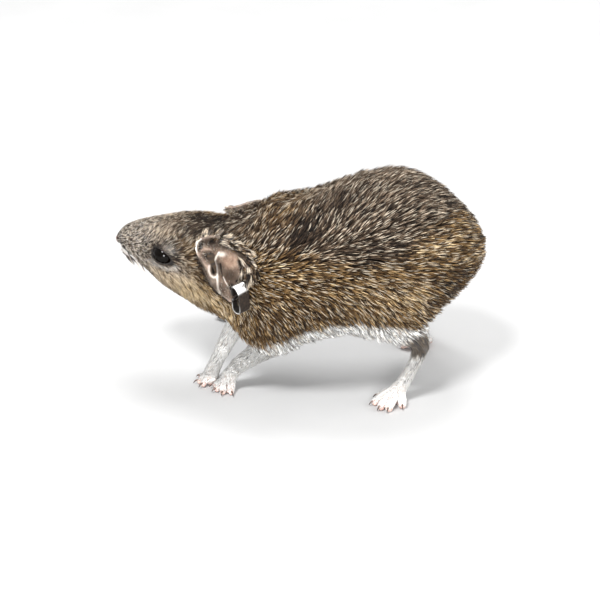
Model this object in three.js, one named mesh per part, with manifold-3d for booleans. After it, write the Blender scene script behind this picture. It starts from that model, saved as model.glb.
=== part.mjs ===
// A field mouse (deer mouse, Peromyscus) at life size, standing on four feet with its tail laid
// along its far side, and a folded metal band on its left ear.
// Millimetres, +Z up, the head towards -X, the animal's left side towards -Y.
// Outlines run out to the tips of the coat. The body is one smooth implicit form,
// drawn once per node and parted there by thin cuts; eyes, ears, feet and the band are built on it.
import * as THREE from "three";
import { mergeVertices } from "three/addons/utils/BufferGeometryUtils.js";
import Module from "manifold-3d";

const wasm = await Module();
wasm.setup();

// ------------------------------------------------------------------ sizes
const GAP = 0.3; // clearance between neighbouring nodes
const HALF = GAP / 2;

const HEAD_YAW = 21; // degrees, nose turned to the far side
const HEAD_PITCH = 3;
const HEAD_ROLL = 19; // degrees, crown tipped to the near side
const NOSE_TIP = [-32.7, 8.0, 25.6];

// Head sections: distance behind the nose tip, lift, half width, height up, height down.
const HEAD_SECTIONS = [
  [0.0, 0.15, 0.9, 0.85, 1.0],
  [1.6, 0.95, 2.3, 1.9, 2.3],
  [4.4, 0.9, 3.85, 3.45, 3.85],
  [7.5, 0.5, 5.35, 5.05, 5.25],
  [11.0, 0.05, 7.0, 6.75, 6.65],
  [15.0, -0.2, 8.15, 8.0, 7.9],
  [19.5, -0.7, 9.0, 8.85, 9.55],
];
// Neck and trunk sections: x, y, z, yaw, pitch, roll, half width, height up, height down.
const TRUNK_SECTIONS = [
  [-9.0, 0.6, 23.8, 15, 3, 14, 10.7, 10.7, 11.6],
  [-3.6, -0.6, 23.4, 8, 2, 7, 12.9, 14.1, 13.2],
  [2.0, -1.6, 24.4, 2, 0, 2, 13.1, 13.7, 13.4],
  [7.1, -1.8, 26.0, -2, 0, 0, 13.2, 13.9, 13.7],
  [12.5, -1.4, 26.8, -6, 0, 0, 13.8, 14.6, 14.3],
  [17.1, -0.4, 27.0, -10, 0, 0, 13.9, 14.7, 14.1],
  [21.5, 1.2, 27.1, -14, 0, 0, 12.9, 13.2, 12.5],
  [25.2, 2.8, 27.1, -17, 0, 0, 11.3, 10.5, 10.0],
  [28.3, 4.0, 26.9, -19, 0, 0, 8.9, 7.3, 7.2],
  [30.7, 4.9, 26.5, -20, 0, 0, 5.8, 4.4, 4.4],
  [32.1, 5.3, 26.3, -20, 0, 0, 2.2, 1.6, 1.6],
];

// Ellipsoids of the haunches and shoulders: centre, long axis, second axis, half sizes.
const MUSCLES = {
  thigh_left: [[15.9, -6.2, 21.4], [0.25, -0.15, -1], [1, 0, 0.4], [9.0, 6.8, 7.9]],
  thigh_right: [[17.6, 7.0, 21.2], [0.1, 0.3, -1], [1, 0, 0.2], [9.2, 6.4, 8.0]],
  shoulder_left: [[-4.6, -6.0, 17.8], [-0.35, 0.0, -1], [1, 0, 0], [7.8, 4.8, 7.0]],
  shoulder_right: [[-5.6, 4.6, 18.0], [-0.45, -0.2, -1], [1, 0, 0], [8.4, 4.8, 6.6]],
};
const MUSCLE_BLEND = 3.2;

// Limb chains: x, y, z, radius.
const LIMBS = {
  foreleg_left: [[-3.4, -5.2, 12.6, 3.3], [-7.4, -4.0, 8.6, 2.0], [-11.4, -2.5, 4.9, 1.35]],
  foreleg_right: [[-8.6, 2.6, 14.6, 2.9], [-12.1, 1.4, 10.2, 1.75], [-14.5, 0.3, 5.8, 1.25]],
  hindleg_left: [[18.4, -8.2, 15.6, 2.9], [21.2, -8.4, 12.4, 1.6], [20.7, -8.0, 9.4, 1.2]],
  hindleg_right: [[19.4, 9.2, 16.0, 3.2], [22.8, 12.0, 12.2, 1.6], [22.9, 12.9, 9.4, 1.2]],
};
const LIMB_BLEND = 2.2;
// The region of each limb: a round cone from the flank to below the knee or elbow.
const LIMB_REGIONS = {
  foreleg_left: [[-4.0, -9.4, 13.4, 5.6], [-10.8, -2.8, 4.4, 2.9]],
  foreleg_right: [[-7.4, 7.6, 15.2, 5.2], [-14.6, 0.2, 5.2, 2.7]],
  hindleg_left: [[17.2, -11.6, 15.8, 7.2], [20.6, -8.2, 8.6, 3.0]],
  hindleg_right: [[18.6, 12.0, 16.0, 7.0], [22.9, 13.1, 8.6, 3.0]],
};
// Where each foot starts: point and direction of the cut, towards the foot.
const FOOT_CUTS = {
  foreleg_left: [[-10.4, -2.9, 5.8], [-0.7, 0.2, -0.68]],
  foreleg_right: [[-14.0, 0.5, 6.9], [-0.45, -0.2, -0.87]],
  hindleg_left: [[20.9, -8.1, 10.8], [-0.3, 0.15, -0.94]],
  hindleg_right: [[22.9, 12.4, 10.8], [-0.03, 0.2, -0.97]],
};

// Feet: the shaft (wrist or heel to ball), its pad, and digits as [root, knuckle, tip].
const FOREFOOT_DIGIT_R = 0.54;
const HINDFOOT_DIGIT_R = 0.72;
const CLAW_R = 0.27;
const CLAW_LENGTH = 0.75;
const FEET = {
  forefoot_left: {
    shaft: [[-9.6, -3.2, 6.6, 1.5], [-11.4, -2.5, 4.7, 1.3], [-12.7, -2.3, 2.8, 1.4], [-13.2, -2.4, 1.6, 1.35]],
    pad: [-13.1, -2.5, 0.72, 1.35, 1.5, 1.15],
    digits: [[[-13.7, -1.6, 1.4], [-14.7, -1.4, 1.0], [-15.3, -1.5, 0.45]], [[-13.8, -2.3, 1.45], [-14.6, -2.6, 1.05], [-15.0, -2.9, 0.45]], [[-13.4, -2.8, 1.4], [-13.8, -3.5, 1.0], [-13.9, -4.0, 0.45]], [[-12.8, -2.9, 1.3], [-12.6, -3.5, 0.95], [-12.4, -4.1, 0.45]]],
    r: FOREFOOT_DIGIT_R,
  },
  forefoot_right: {
    shaft: [[-14.0, 0.5, 7.2, 1.3], [-15.0, 0.3, 4.7, 1.2], [-15.9, 0.5, 2.7, 1.3], [-16.2, 0.6, 1.6, 1.25]],
    pad: [-16.1, 0.7, 0.72, 1.3, 1.45, 1.15],
    digits: [[[-16.2, 1.5, 1.3], [-16.7, 2.4, 0.95], [-17.0, 3.0, 0.48]], [[-16.7, 1.0, 1.4], [-17.5, 1.5, 1.0], [-18.0, 1.9, 0.48]], [[-16.8, 0.4, 1.4], [-17.6, 0.3, 1.0], [-18.2, 0.2, 0.48]], [[-16.5, -0.1, 1.35], [-17.1, -0.6, 0.95], [-17.5, -1.0, 0.48]]],
    r: FOREFOOT_DIGIT_R,
  },
  hindfoot_left: {
    shaft: [[21.3, -8.3, 12.0, 1.4], [20.6, -7.9, 9.0, 1.2], [19.1, -7.0, 5.2, 1.25], [17.8, -6.5, 2.6, 1.5], [17.1, -6.7, 1.6, 1.45]],
    pad: [17.2, -6.8, 0.75, 1.6, 1.75, 1.25],
    digits: [[[16.5, -5.9, 1.5], [15.3, -5.6, 1.1], [14.3, -5.6, 0.55]], [[16.2, -6.7, 1.7], [14.7, -7.5, 1.25], [13.4, -8.1, 0.55]], [[16.4, -7.4, 1.7], [15.2, -8.8, 1.25], [14.4, -9.9, 0.55]], [[17.0, -7.9, 1.6], [16.2, -9.4, 1.15], [15.8, -10.5, 0.55]], [[17.9, -7.6, 1.6], [18.2, -8.5, 1.1], [18.2, -9.3, 0.55]]],
    r: HINDFOOT_DIGIT_R,
  },
  hindfoot_right: {
    shaft: [[22.9, 12.1, 12.0, 1.4], [22.9, 12.9, 9.0, 1.2], [22.8, 14.0, 5.2, 1.25], [22.6, 14.8, 2.6, 1.5], [22.4, 15.0, 1.6, 1.45]],
    pad: [22.4, 15.1, 0.75, 1.7, 1.65, 1.25],
    digits: [[[21.47, 14.49, 1.5], [20.24, 14.62, 1.1], [19.39, 14.92, 0.55]], [[21.46, 15.34, 1.7], [20.32, 16.61, 1.25], [19.44, 17.68, 0.55]], [[21.89, 15.93, 1.7], [21.37, 17.72, 1.25], [20.99, 19.02, 0.55]], [[22.62, 16.2, 1.6], [22.48, 17.84, 1.15], [22.51, 19.11, 0.55]], [[23.37, 15.61, 1.6], [24.05, 16.32, 1.1], [24.36, 17.16, 0.55]]],
    r: HINDFOOT_DIGIT_R,
  },
};

// Tail: x, y, z, radius, from the rump down to the floor and forward.
const TAIL = [
  [29.2, 5.6, 25.0, 2.9],
  [29.6, 8.8, 22.4, 2.1],
  [28.6, 13.2, 17.0, 1.75],
  [25.2, 18.2, 10.9, 1.6],
  [21.4, 22.4, 5.2, 1.5],
  [17.6, 25.2, 1.9, 1.42],
  [11.0, 26.8, 1.2, 1.3],
  [4.0, 27.0, 1.08, 1.15],
  [-3.0, 26.0, 0.92, 0.98],
  [-8.6, 25.4, 0.76, 0.8],
  [-13.0, 26.4, 0.58, 0.6],
  [-15.6, 27.6, 0.42, 0.42],
];
const TAIL_STEPS = 60;
const TAIL_SPLITS = [0.36, 0.7]; // shares of the tail where it is parted

const EYE = { s: 11.5, t: 4.95, w: 3.2, r: 2.0, deeper: 0.62 }; // deeper: how much further in the far eye sits, under the tipped crown

// Ears: the root's depth point, the way the hollow faces, and the rim, from its front round the top to the back and tip.
const EARS = {
  ear_left: {
    root: [-15.12, -6.72, 26.55], hollow: [-0.607, -0.715, 0.347], cup: 0.5,
    rim: [[-17.95, -6.38, 29.11], [-18.06, -5.69, 30.14], [-17.46, -5.09, 31.03], [-14.28, -5.93, 31.96], [-10.38, -9.96, 31.85], [-8.26, -13.98, 30.07],
      [-8.44, -14.82, 28.18], [-10.23, -14.34, 23.97], [-10.96, -13.72, 22.72], [-12.55, -12.19, 22.58], [-15.33, -10.04, 24.27], [-17.24, -7.73, 27.61]],
  },
  ear_right: {
    root: [-8.8, 5.05, 32.63], hollow: [-0.345, 0.456, 0.82], cup: 0.25,
    rim: [[-12.86, 4.74, 32.75], [-13.18, 4.29, 33.04], [-13.07, 3.69, 33.2], [-11.1, 2.42, 34.16], [-8.16, 4.27, 34.29], [-6.91, 8.33, 32.68],
      [-6.63, 10.08, 31.86], [-6.93, 11.9, 29.85], [-7.08, 12.23, 29.16], [-7.75, 11.61, 28.98], [-8.81, 9.28, 30.38], [-11.79, 5.74, 32.46]],
  },
};
const EAR_THICK = 0.62;
const EAR_RINGS = [0.38, 0.68, 0.88, 1];
const EAR_SIDES = 24;

// Ear band: folded strip round the ear's lower edge.
const BAND = {
  strip: 0.45, width: 2.0, centre: [-10.5, -14.9, 24.5], along: [0.04, 0.15, -0.99], across: [0.767, -0.638, -0.069],
  outline: [[-1.5, 1.15], [-2.55, 0.12], [-2.55, -0.75], [-2.15, -1.15], [2.1, -1.15], [2.75, -0.8], [3.0, 0], [2.75, 0.8], [2.1, 1.15]],
};

// ------------------------------------------------------------------ small maths
const rad = (d) => (d * Math.PI) / 180;
const V = (a) => new THREE.Vector3(...a);
const dot = (a, b) => a[0] * b[0] + a[1] * b[1] + a[2] * b[2];
const sub = (a, b) => [a[0] - b[0], a[1] - b[1], a[2] - b[2]];
const add = (a, b, k = 1) => [a[0] + b[0] * k, a[1] + b[1] * k, a[2] + b[2] * k];
const cross = (a, b) => [a[1] * b[2] - a[2] * b[1], a[2] * b[0] - a[0] * b[2], a[0] * b[1] - a[1] * b[0]];
const unit = (a) => { const n = Math.hypot(...a); return a.map((v) => v / n); };

// Monotone cubic interpolation through (x, y).
function curve(x, y) {
  const n = x.length, h = [], d = [], m = [];
  for (let i = 0; i < n - 1; i++) { h.push(x[i + 1] - x[i]); d.push((y[i + 1] - y[i]) / h[i]); }
  for (let i = 0; i < n; i++) {
    if (i === 0) m.push(d[0]);
    else if (i === n - 1) m.push(d[n - 2]);
    else if (d[i - 1] * d[i] <= 0) m.push(0);
    else { const a = 2 * h[i] + h[i - 1], b = h[i] + 2 * h[i - 1]; m.push((a + b) / (a / d[i - 1] + b / d[i])); }
  }
  return (q) => {
    let i = 0; while (i < n - 2 && q >= x[i + 1]) i++;
    const t = (q - x[i]) / h[i], t2 = t * t, t3 = t2 * t;
    return (2 * t3 - 3 * t2 + 1) * y[i] + (t3 - 2 * t2 + t) * h[i] * m[i] + (-2 * t3 + 3 * t2) * y[i + 1] + (t3 - t2) * h[i] * m[i + 1];
  };
}
// Polynomial smooth minimum.
const smin = (a, b, k) => { const h = Math.max(k - Math.abs(a - b), 0) / k; return Math.min(a, b) - h * h * k * 0.25; };

function headFrame(yaw, pitch, roll) {
  const a = rad(yaw), p = rad(pitch), r = rad(roll);
  const f = [-Math.cos(a) * Math.cos(p), Math.sin(a) * Math.cos(p), Math.sin(p)];
  const l = unit(cross([0, 0, 1], f)), u = cross(f, l);
  const c = Math.cos(r), s = Math.sin(r);
  return { f, l: l.map((v, i) => v * c - u[i] * s), u: u.map((v, i) => v * c + l[i] * s) };
}
const HEAD = headFrame(HEAD_YAW, HEAD_PITCH, HEAD_ROLL);
const headPoint = (s, t, w) => add(add(add(NOSE_TIP, HEAD.f, -s), HEAD.l, t), HEAD.u, w);

// ------------------------------------------------------------------ the body's form
const SECTIONS = [
  ...HEAD_SECTIONS.map(([s, lift, w, hu, hd]) => [...add(headPoint(s, 0, 0), [0, 0, 1], lift), HEAD_YAW, HEAD_PITCH, HEAD_ROLL, w, hu, hd]),
  ...TRUNK_SECTIONS,
];
const BODY = (() => {
  const at = [0];
  for (let i = 1; i < SECTIONS.length; i++) at.push(at[i - 1] + Math.hypot(...sub(SECTIONS[i], SECTIONS[i - 1]).slice(0, 3)));
  const end = at[at.length - 1], N = 600, EXTRA = 6, rows = [];
  const cols = [0, 1, 2, 3, 4, 5].map((j) => curve(at, SECTIONS.map((r) => r[j])));
  cols.push(curve(at, SECTIONS.map((r) => r[7] * r[7])), curve(at, SECTIONS.map((r) => r[7] / r[6])), curve(at, SECTIONS.map((r) => r[7] / r[8])));
  const value = (j, t) => {
    const c = Math.min(Math.max(t, 0), end), e = t - c;
    if (e === 0 || !(j < 3 || j === 6)) return cols[j](c);
    const h = 1e-3, slope = e < 0 ? (cols[j](h) - cols[j](0)) / h : (cols[j](end) - cols[j](end - h)) / h;
    return cols[j](c) + e * slope;
  };
  const step = (end + 2 * EXTRA) / (N - 1);
  for (let i = 0; i < N; i++) {
    const t = -EXTRA + i * step, v = cols.map((_, j) => value(j, t)), fr = headFrame(v[3], v[4], v[5]);
    rows.push({ t, C: v.slice(0, 3), T: fr.f.map((x) => -x), L: fr.l, U: fr.u, Q: v[6], rw: v[7], rd: v[8] });
  }
  rows.forEach((r, i) => {
    const a = rows[Math.max(i - 1, 0)], b = rows[Math.min(i + 1, N - 1)], d = b.t - a.t;
    r.dT = sub(b.T, a.T).map((v) => v / d);
    r.dQ = (b.Q - a.Q) / d;
    r.den = dot(sub(b.C, a.C), r.T) / d;
  });
  const mix = (t) => {
    const x = Math.min(Math.max((t + EXTRA) / step, 0), N - 1.001), i = Math.floor(x), h = x - i, a = rows[i], b = rows[i + 1];
    const m = (p, q) => p.map((v, j) => v + (q[j] - v) * h), s = (p, q) => p + (q - p) * h;
    return { C: m(a.C, b.C), T: m(a.T, b.T), L: m(a.L, b.L), U: m(a.U, b.U), dT: m(a.dT, b.dT), Q: s(a.Q, b.Q), rw: s(a.rw, b.rw), rd: s(a.rd, b.rd), dQ: s(a.dQ, b.dQ), den: s(a.den, b.den) };
  };
  return { rows, mix, end, EXTRA, step };
})();

// Station along the body whose section plane holds the point.
function station(P) {
  let lo = 0, hi = BODY.rows.length - 1;
  while (hi - lo > 1) { const m = (lo + hi) >> 1; if (BODY.rows[m].C[0] < P[0]) lo = m; else hi = m; }
  let t = BODY.rows[lo].t;
  for (let k = 0; k < 5; k++) {
    const r = BODY.mix(t), q = sub(P, r.C), den = Math.max(r.den - dot(q, r.dT), 0.35);
    t = Math.min(Math.max(t + dot(q, r.T) / den, -BODY.EXTRA), BODY.end + BODY.EXTRA);
  }
  return t;
}
function loftField(P) {
  const r = BODY.mix(station(P)), q = sub(P, r.C), a = dot(q, r.L), b = dot(q, r.U), rd = b < 0 ? r.rd : 1;
  const g2 = (a * r.rw) ** 2 + (b * rd) ** 2, G = g2 - r.Q, h = r.dQ / 2;
  const ga = Math.hypot(a * r.rw * r.rw, b * rd * rd, h), sc = Math.sqrt(Math.max(r.Q, 0) / Math.max(g2, 1e-6));
  const gs = Math.hypot(a * r.rw * r.rw * sc, b * rd * rd * sc, h);
  return G / Math.max(ga + gs, 1e-3);
}
function axes(d, up) { const a = unit(d), c = unit(cross(a, up)), b = cross(c, a); return [a, c, b]; }
function ellipsoidField(P, [c, d, up, R], ax = axes(d, up)) {
  const q = sub(P, c), k = ax.map((v, i) => dot(q, v) / R[i]);
  const k0 = Math.hypot(...k), k1 = Math.hypot(...k.map((v, i) => v / R[i]));
  return (k0 * (k0 - 1)) / Math.max(k1, 1e-6);
}
function coneField(P, a, b) {
  const ba = sub(b, a).slice(0, 3), pa = sub(P, a), h = Math.min(Math.max(dot(pa, ba) / dot(ba, ba), 0), 1);
  return Math.hypot(pa[0] - ba[0] * h, pa[1] - ba[1] * h, pa[2] - ba[2] * h) - (a[3] + (b[3] - a[3]) * h);
}
// A Catmull-Rom curve through points that also carry a radius.
function smoothChain(points, steps) {
  const path = new THREE.CatmullRomCurve3(points.map((p) => V(p.slice(0, 3))), false, "catmullrom", 0.5);
  const r = curve(points.map((_, i) => i / (points.length - 1)), points.map((p) => p[3]));
  return Array.from({ length: steps + 1 }, (_, i) => { const u = i / steps, p = path.getPoint(u); return [p.x, p.y, p.z, r(u)]; });
}
const chains = Object.fromEntries(Object.entries(LIMBS).map(([k, pts]) => [k, smoothChain(pts, 6)]));
const chainField = (P, c) => { let m = 1e9; for (let i = 0; i < c.length - 1; i++) m = Math.min(m, coneField(P, c[i], c[i + 1])); return m; };

function coreField(P) {
  let F = loftField(P);
  for (const m of Object.values(MUSCLES)) F = smin(F, ellipsoidField(P, m), MUSCLE_BLEND);
  return F;
}
const headField = loftField;
function limbField(P, name) { return smin(coreField(P), chainField(P, chains[name]), LIMB_BLEND); }
function wholeField(P) {
  let F = coreField(P);
  for (const c of Object.values(chains)) F = smin(F, chainField(P, c), LIMB_BLEND);
  return F;
}
const plane = (P, [p, n]) => dot(sub(P, p), unit(n)); // positive beyond the plane

// ------------------------------------------------------------------ meshing
// Closed mesh of the region where field < 0, on a grid of the given step (surface nets), with its
// vertices then moved onto the field's zero surface.
function skinOf(shape, lo, hi, h) {
  const field = (P) => Math.max(shape(P), ...P.map((v, i) => Math.max(lo[i] + 1.3 * h - v, v - hi[i] + 1.3 * h)));
  const n = [0, 1, 2].map((i) => Math.ceil((hi[i] - lo[i]) / h) + 1), id = (i, j, k) => (i * n[1] + j) * n[2] + k;
  const F = new Float64Array(n[0] * n[1] * n[2]);
  for (let i = 0; i < n[0]; i++) for (let j = 0; j < n[1]; j++) for (let k = 0; k < n[2]; k++) F[id(i, j, k)] = field([lo[0] + i * h, lo[1] + j * h, lo[2] + k * h]) || 1e-9;
  const at = new Map(), pos = [], tri = [];
  const vertex = (i, j, k) => {
    const key = id(i, j, k); if (at.has(key)) return at.get(key);
    let s = [0, 0, 0], c = 0;
    for (let e = 0; e < 12; e++) {
      const ax = e >> 2, u = e & 1, v = (e >> 1) & 1, o = [(ax + 1) % 3, (ax + 2) % 3], a = [i, j, k]; a[o[0]] += u; a[o[1]] += v;
      const b = [...a]; b[ax] += 1; const fa = F[id(...a)], fb = F[id(...b)];
      if (fa < 0 !== fb < 0) { const t = fa / (fa - fb); a[ax] += t; s = add(s, a); c++; }
    }
    const p = s.map((v, m) => lo[m] + (v / c) * h), index = pos.length; pos.push(p); at.set(key, index); return index;
  };
  for (let ax = 0; ax < 3; ax++) {
    const o = [(ax + 1) % 3, (ax + 2) % 3];
    for (let i = 0; i < n[0]; i++) for (let j = 0; j < n[1]; j++) for (let k = 0; k < n[2]; k++) {
      const a = [i, j, k]; if (a[ax] >= n[ax] - 1 || a[o[0]] < 1 || a[o[1]] < 1 || a[o[0]] >= n[o[0]] - 1 || a[o[1]] >= n[o[1]] - 1) continue;
      const b = [...a]; b[ax] += 1; const fa = F[id(...a)], fb = F[id(...b)]; if (fa < 0 === fb < 0) continue;
      const c = [[-1, -1], [0, -1], [0, 0], [-1, 0]].map(([x, y]) => { const q = [...a]; q[o[0]] += x; q[o[1]] += y; return vertex(...q); });
      const q = fa < 0 ? c : c.reverse();
      tri.push(q);
    }
  }
  const e = h * 0.02;
  for (let pass = 0; pass < 3; pass++) for (const p of pos) {
    const f = field(p), g = [0, 1, 2].map((m) => { const q = [...p]; q[m] += e; return (field(q) - f) / e; }), gg = dot(g, g);
    if (gg < 0.05) continue;
    const k = Math.max(-0.4 * h, Math.min(0.4 * h, -f / gg));
    for (let m = 0; m < 3; m++) p[m] += g[m] * k;
  }
  const index = [];
  const d2 = (a, b) => { const q = sub(pos[a], pos[b]); return dot(q, q); };
  for (const [a, b, c, d] of tri) if (d2(a, c) <= d2(b, d)) index.push(a, b, c, a, c, d); else index.push(a, b, d, b, c, d);
  return geometry(pos, index);
}
function geometry(pos, index) {
  const g = new THREE.BufferGeometry();
  g.setAttribute("position", new THREE.BufferAttribute(new Float32Array(pos.flat()), 3));
  g.setIndex(index);
  return g;
}
// Closed tube along a chain of [x, y, z, radius], with rounded ends. squash flattens it along one direction.
function tube(chain, sides, { round0 = true, round1 = true } = {}) {
  const pos = [], index = [], n = chain.length;
  const tan = chain.map((_, i) => unit(sub(chain[Math.min(i + 1, n - 1)], chain[Math.max(i - 1, 0)]).slice(0, 3)));
  let side = unit(cross(tan[0], Math.abs(tan[0][2]) < 0.9 ? [0, 0, 1] : [1, 0, 0]));
  const rings = [];
  const ring = (c, t, r) => {
    side = unit(sub(side, t.map((v) => v * dot(side, t)))); const up = cross(t, side), start = pos.length;
    for (let k = 0; k < sides; k++) { const a = (2 * Math.PI * k) / sides; pos.push(add(add(c, side, r * Math.cos(a)), up, r * Math.sin(a))); }
    rings.push(start);
  };
  const CAP = [0.62]; // the rounded end's rings, as shares of the radius
  if (round0) for (const s of [...CAP]) ring(add(chain[0].slice(0, 3), tan[0], -chain[0][3] * s), tan[0], chain[0][3] * Math.sqrt(1 - s * s));
  for (let i = 0; i < n; i++) ring(chain[i].slice(0, 3), tan[i], chain[i][3]);
  if (round1) for (const s of [...CAP].reverse()) ring(add(chain[n - 1].slice(0, 3), tan[n - 1], chain[n - 1][3] * s), tan[n - 1], chain[n - 1][3] * Math.sqrt(1 - s * s));
  for (let r = 0; r < rings.length - 1; r++) for (let k = 0; k < sides; k++) {
    const a = rings[r] + k, b = rings[r] + ((k + 1) % sides), c = rings[r + 1] + k, d = rings[r + 1] + ((k + 1) % sides);
    index.push(a, b, d, a, d, c);
  }
  const first = pos.length; pos.push(add(chain[0].slice(0, 3), tan[0], round0 ? -chain[0][3] : 0));
  const last = pos.length; pos.push(add(chain[n - 1].slice(0, 3), tan[n - 1], round1 ? chain[n - 1][3] : 0));
  const z = rings[rings.length - 1];
  for (let k = 0; k < sides; k++) { index.push(first, (k + 1) % sides, k); index.push(last, z + k, z + ((k + 1) % sides)); }
  return geometry(pos, index);
}
function solid(g) {
  let clean = g.clone(); clean.deleteAttribute("normal"); clean.deleteAttribute("uv"); clean = mergeVertices(clean, 1e-4);
  return new wasm.Manifold(new wasm.Mesh({ numProp: 3, vertProperties: clean.attributes.position.array, triVerts: new Uint32Array(clean.index.array) }));
}
function back(m) {
  const g = m.getMesh(), n = g.numProp, pos = new Float32Array(g.numVert * 3);
  for (let i = 0; i < g.numVert; i++) pos.set(g.vertProperties.subarray(i * n, i * n + 3), i * 3);
  const out = new THREE.BufferGeometry(); out.setAttribute("position", new THREE.BufferAttribute(pos, 3)); out.setIndex(new THREE.BufferAttribute(g.triVerts, 1));
  return out;
}
const ball = (c, r, k = 16) => { const g = new THREE.SphereGeometry(1, k, Math.round(k * 0.6)).rotateX(Math.PI / 2); g.scale(...(Array.isArray(r) ? r : [r, r, r])); g.translate(...c); return g; };
const keepAbove = (m, z) => m.trimByPlane([0, 0, 1], z);
const keepBeyond = (m, [p, n], gap) => { const u = unit(n); return m.trimByPlane(u, dot(p, u) + gap); };

// ------------------------------------------------------------------ nodes
const parts = {};
const eyeCentre = { eye_left: headPoint(EYE.s, EYE.t, EYE.w), eye_right: headPoint(EYE.s, -EYE.t + EYE.deeper * 0.7, EYE.w - EYE.deeper * 0.7) };
const NOSE_CUT = [headPoint(1.5, 0, 0), HEAD.f];
const NECK_FRONT = [headPoint(23.0, 0, 0), HEAD.f.map((v) => -v)];
const NECK_BACK = [[-5.6, -0.2, 23.5], [0.985, -0.17, 0.0]];
const regionSolid = (name, grow) => solid(tube(LIMB_REGIONS[name].map((p) => [p[0], p[1], p[2], p[3] + grow]), 16));
const keepBehind = (m, [p, n], gap) => keepBeyond(m, [p, n.map((v) => -v)], gap);
const largest = (m) => m.decompose().sort((p, q) => q.volume() - p.volume())[0];
const around = (c, r) => [c.map((v) => v - r), c.map((v) => v + r)];
const forelegs = ["foreleg_left", "foreleg_right"];

const muzzle = solid(skinOf(loftField, ...around(headPoint(2.5, 0, 0), 5.2), 0.72));
parts.nose = back(largest(keepBeyond(muzzle, NOSE_CUT, HALF)));
let head = solid(skinOf((P) => headField(P), [-35, -14, 10], [-3, 15, 39], 1.6));
head = keepBehind(keepBehind(head, NOSE_CUT, HALF), NECK_FRONT, HALF);
for (const c of Object.values(eyeCentre)) head = head.subtract(solid(ball(c, EYE.r + GAP, 10)));
let rest = solid(skinOf(wholeField, [-22, -19, 1], [37, 19, 46], 2.85));
let neck = keepBehind(keepBeyond(rest, NECK_FRONT, HALF), NECK_BACK, HALF), trunk = keepBeyond(rest, NECK_BACK, HALF);
for (const name of Object.keys(LIMBS)) {
  const cut = regionSolid(name, HALF);
  trunk = trunk.subtract(cut); neck = neck.subtract(cut); head = head.subtract(cut);
}
parts.head = back(largest(head)); parts.neck = back(largest(neck)); parts.trunk = back(largest(trunk));
for (const name of Object.keys(LIMBS)) {
  const [a, b] = LIMB_REGIONS[name], lo = [0, 1, 2].map((i) => Math.min(a[i] - a[3], b[i] - b[3]) - 2), hi = [0, 1, 2].map((i) => Math.max(a[i] + a[3], b[i] + b[3]) + 2);
  let m = solid(skinOf((P) => limbField(P, name), lo, hi, name.startsWith("hind") ? 1.6 : 1.5)).intersect(regionSolid(name, -HALF));
  if (name === "foreleg_right") m = m.subtract(regionSolid("foreleg_left", HALF));
  parts[name] = back(largest(keepBehind(m, FOOT_CUTS[name], HALF)));
}
for (const [name, F] of Object.entries(FEET)) {
  let m = solid(tube(smoothChain(F.shaft, 2), 8)).add(solid(ball(F.pad.slice(0, 3), F.pad.slice(3), 8)));
  for (const [root, knuckle, tip] of F.digits) {
    const r = F.r, d = unit([tip[0] - knuckle[0], tip[1] - knuckle[1], 0]);
    m = m.add(solid(tube(smoothChain([[...root, r * 1.1], [...knuckle, r], [...tip, r * 0.92]], 2), 5, { round0: false })));
    const heel = add(tip, d, r * 0.4), end = add(tip, d, r * 0.8 + CLAW_LENGTH);
    m = m.add(solid(tube([[heel[0], heel[1], tip[2] + 0.2, CLAW_R * 1.2], [end[0], end[1], CLAW_R + 0.05, CLAW_R]], 4, { round0: false, round1: false })));
  }
  const leg = name.replace("foot", "leg");
  parts[name] = back(keepBeyond(keepAbove(m, 0), FOOT_CUTS[leg], HALF));
}
const tailPath = smoothChain(TAIL, TAIL_STEPS);
const trunkOut = solid(skinOf((P) => coreField(P) - GAP, [20, -4, 14], [36, 16, 38], 1.2));
[["tail_root", 0, TAIL_SPLITS[0]], ["tail_middle", TAIL_SPLITS[0], TAIL_SPLITS[1]], ["tail_end", TAIL_SPLITS[1], 1]].forEach(([name, a, b], k) => {
  const i0 = Math.round(a * TAIL_STEPS), i1 = Math.round(b * TAIL_STEPS), piece = tailPath.slice(i0, i1 + 1).map((p) => [...p]);
  const shift = (i, j) => { const d = unit(sub(piece[j], piece[i]).slice(0, 3)); for (let m = 0; m < 3; m++) piece[i][m] += d[m] * HALF; };
  if (k > 0) shift(0, 1);
  if (k < 2) shift(piece.length - 1, piece.length - 2);
  let m = keepAbove(solid(tube(piece.filter((_, i) => i === 0 || i === piece.length - 1 || i % 2 === 0), 9, { round0: false, round1: k === 2 })), 0);
  if (k === 0) m = largest(m.subtract(trunkOut));
  parts[name] = back(m);
});
for (const [name, c] of Object.entries(eyeCentre)) parts[name] = ball(c, EYE.r, 12);

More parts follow.
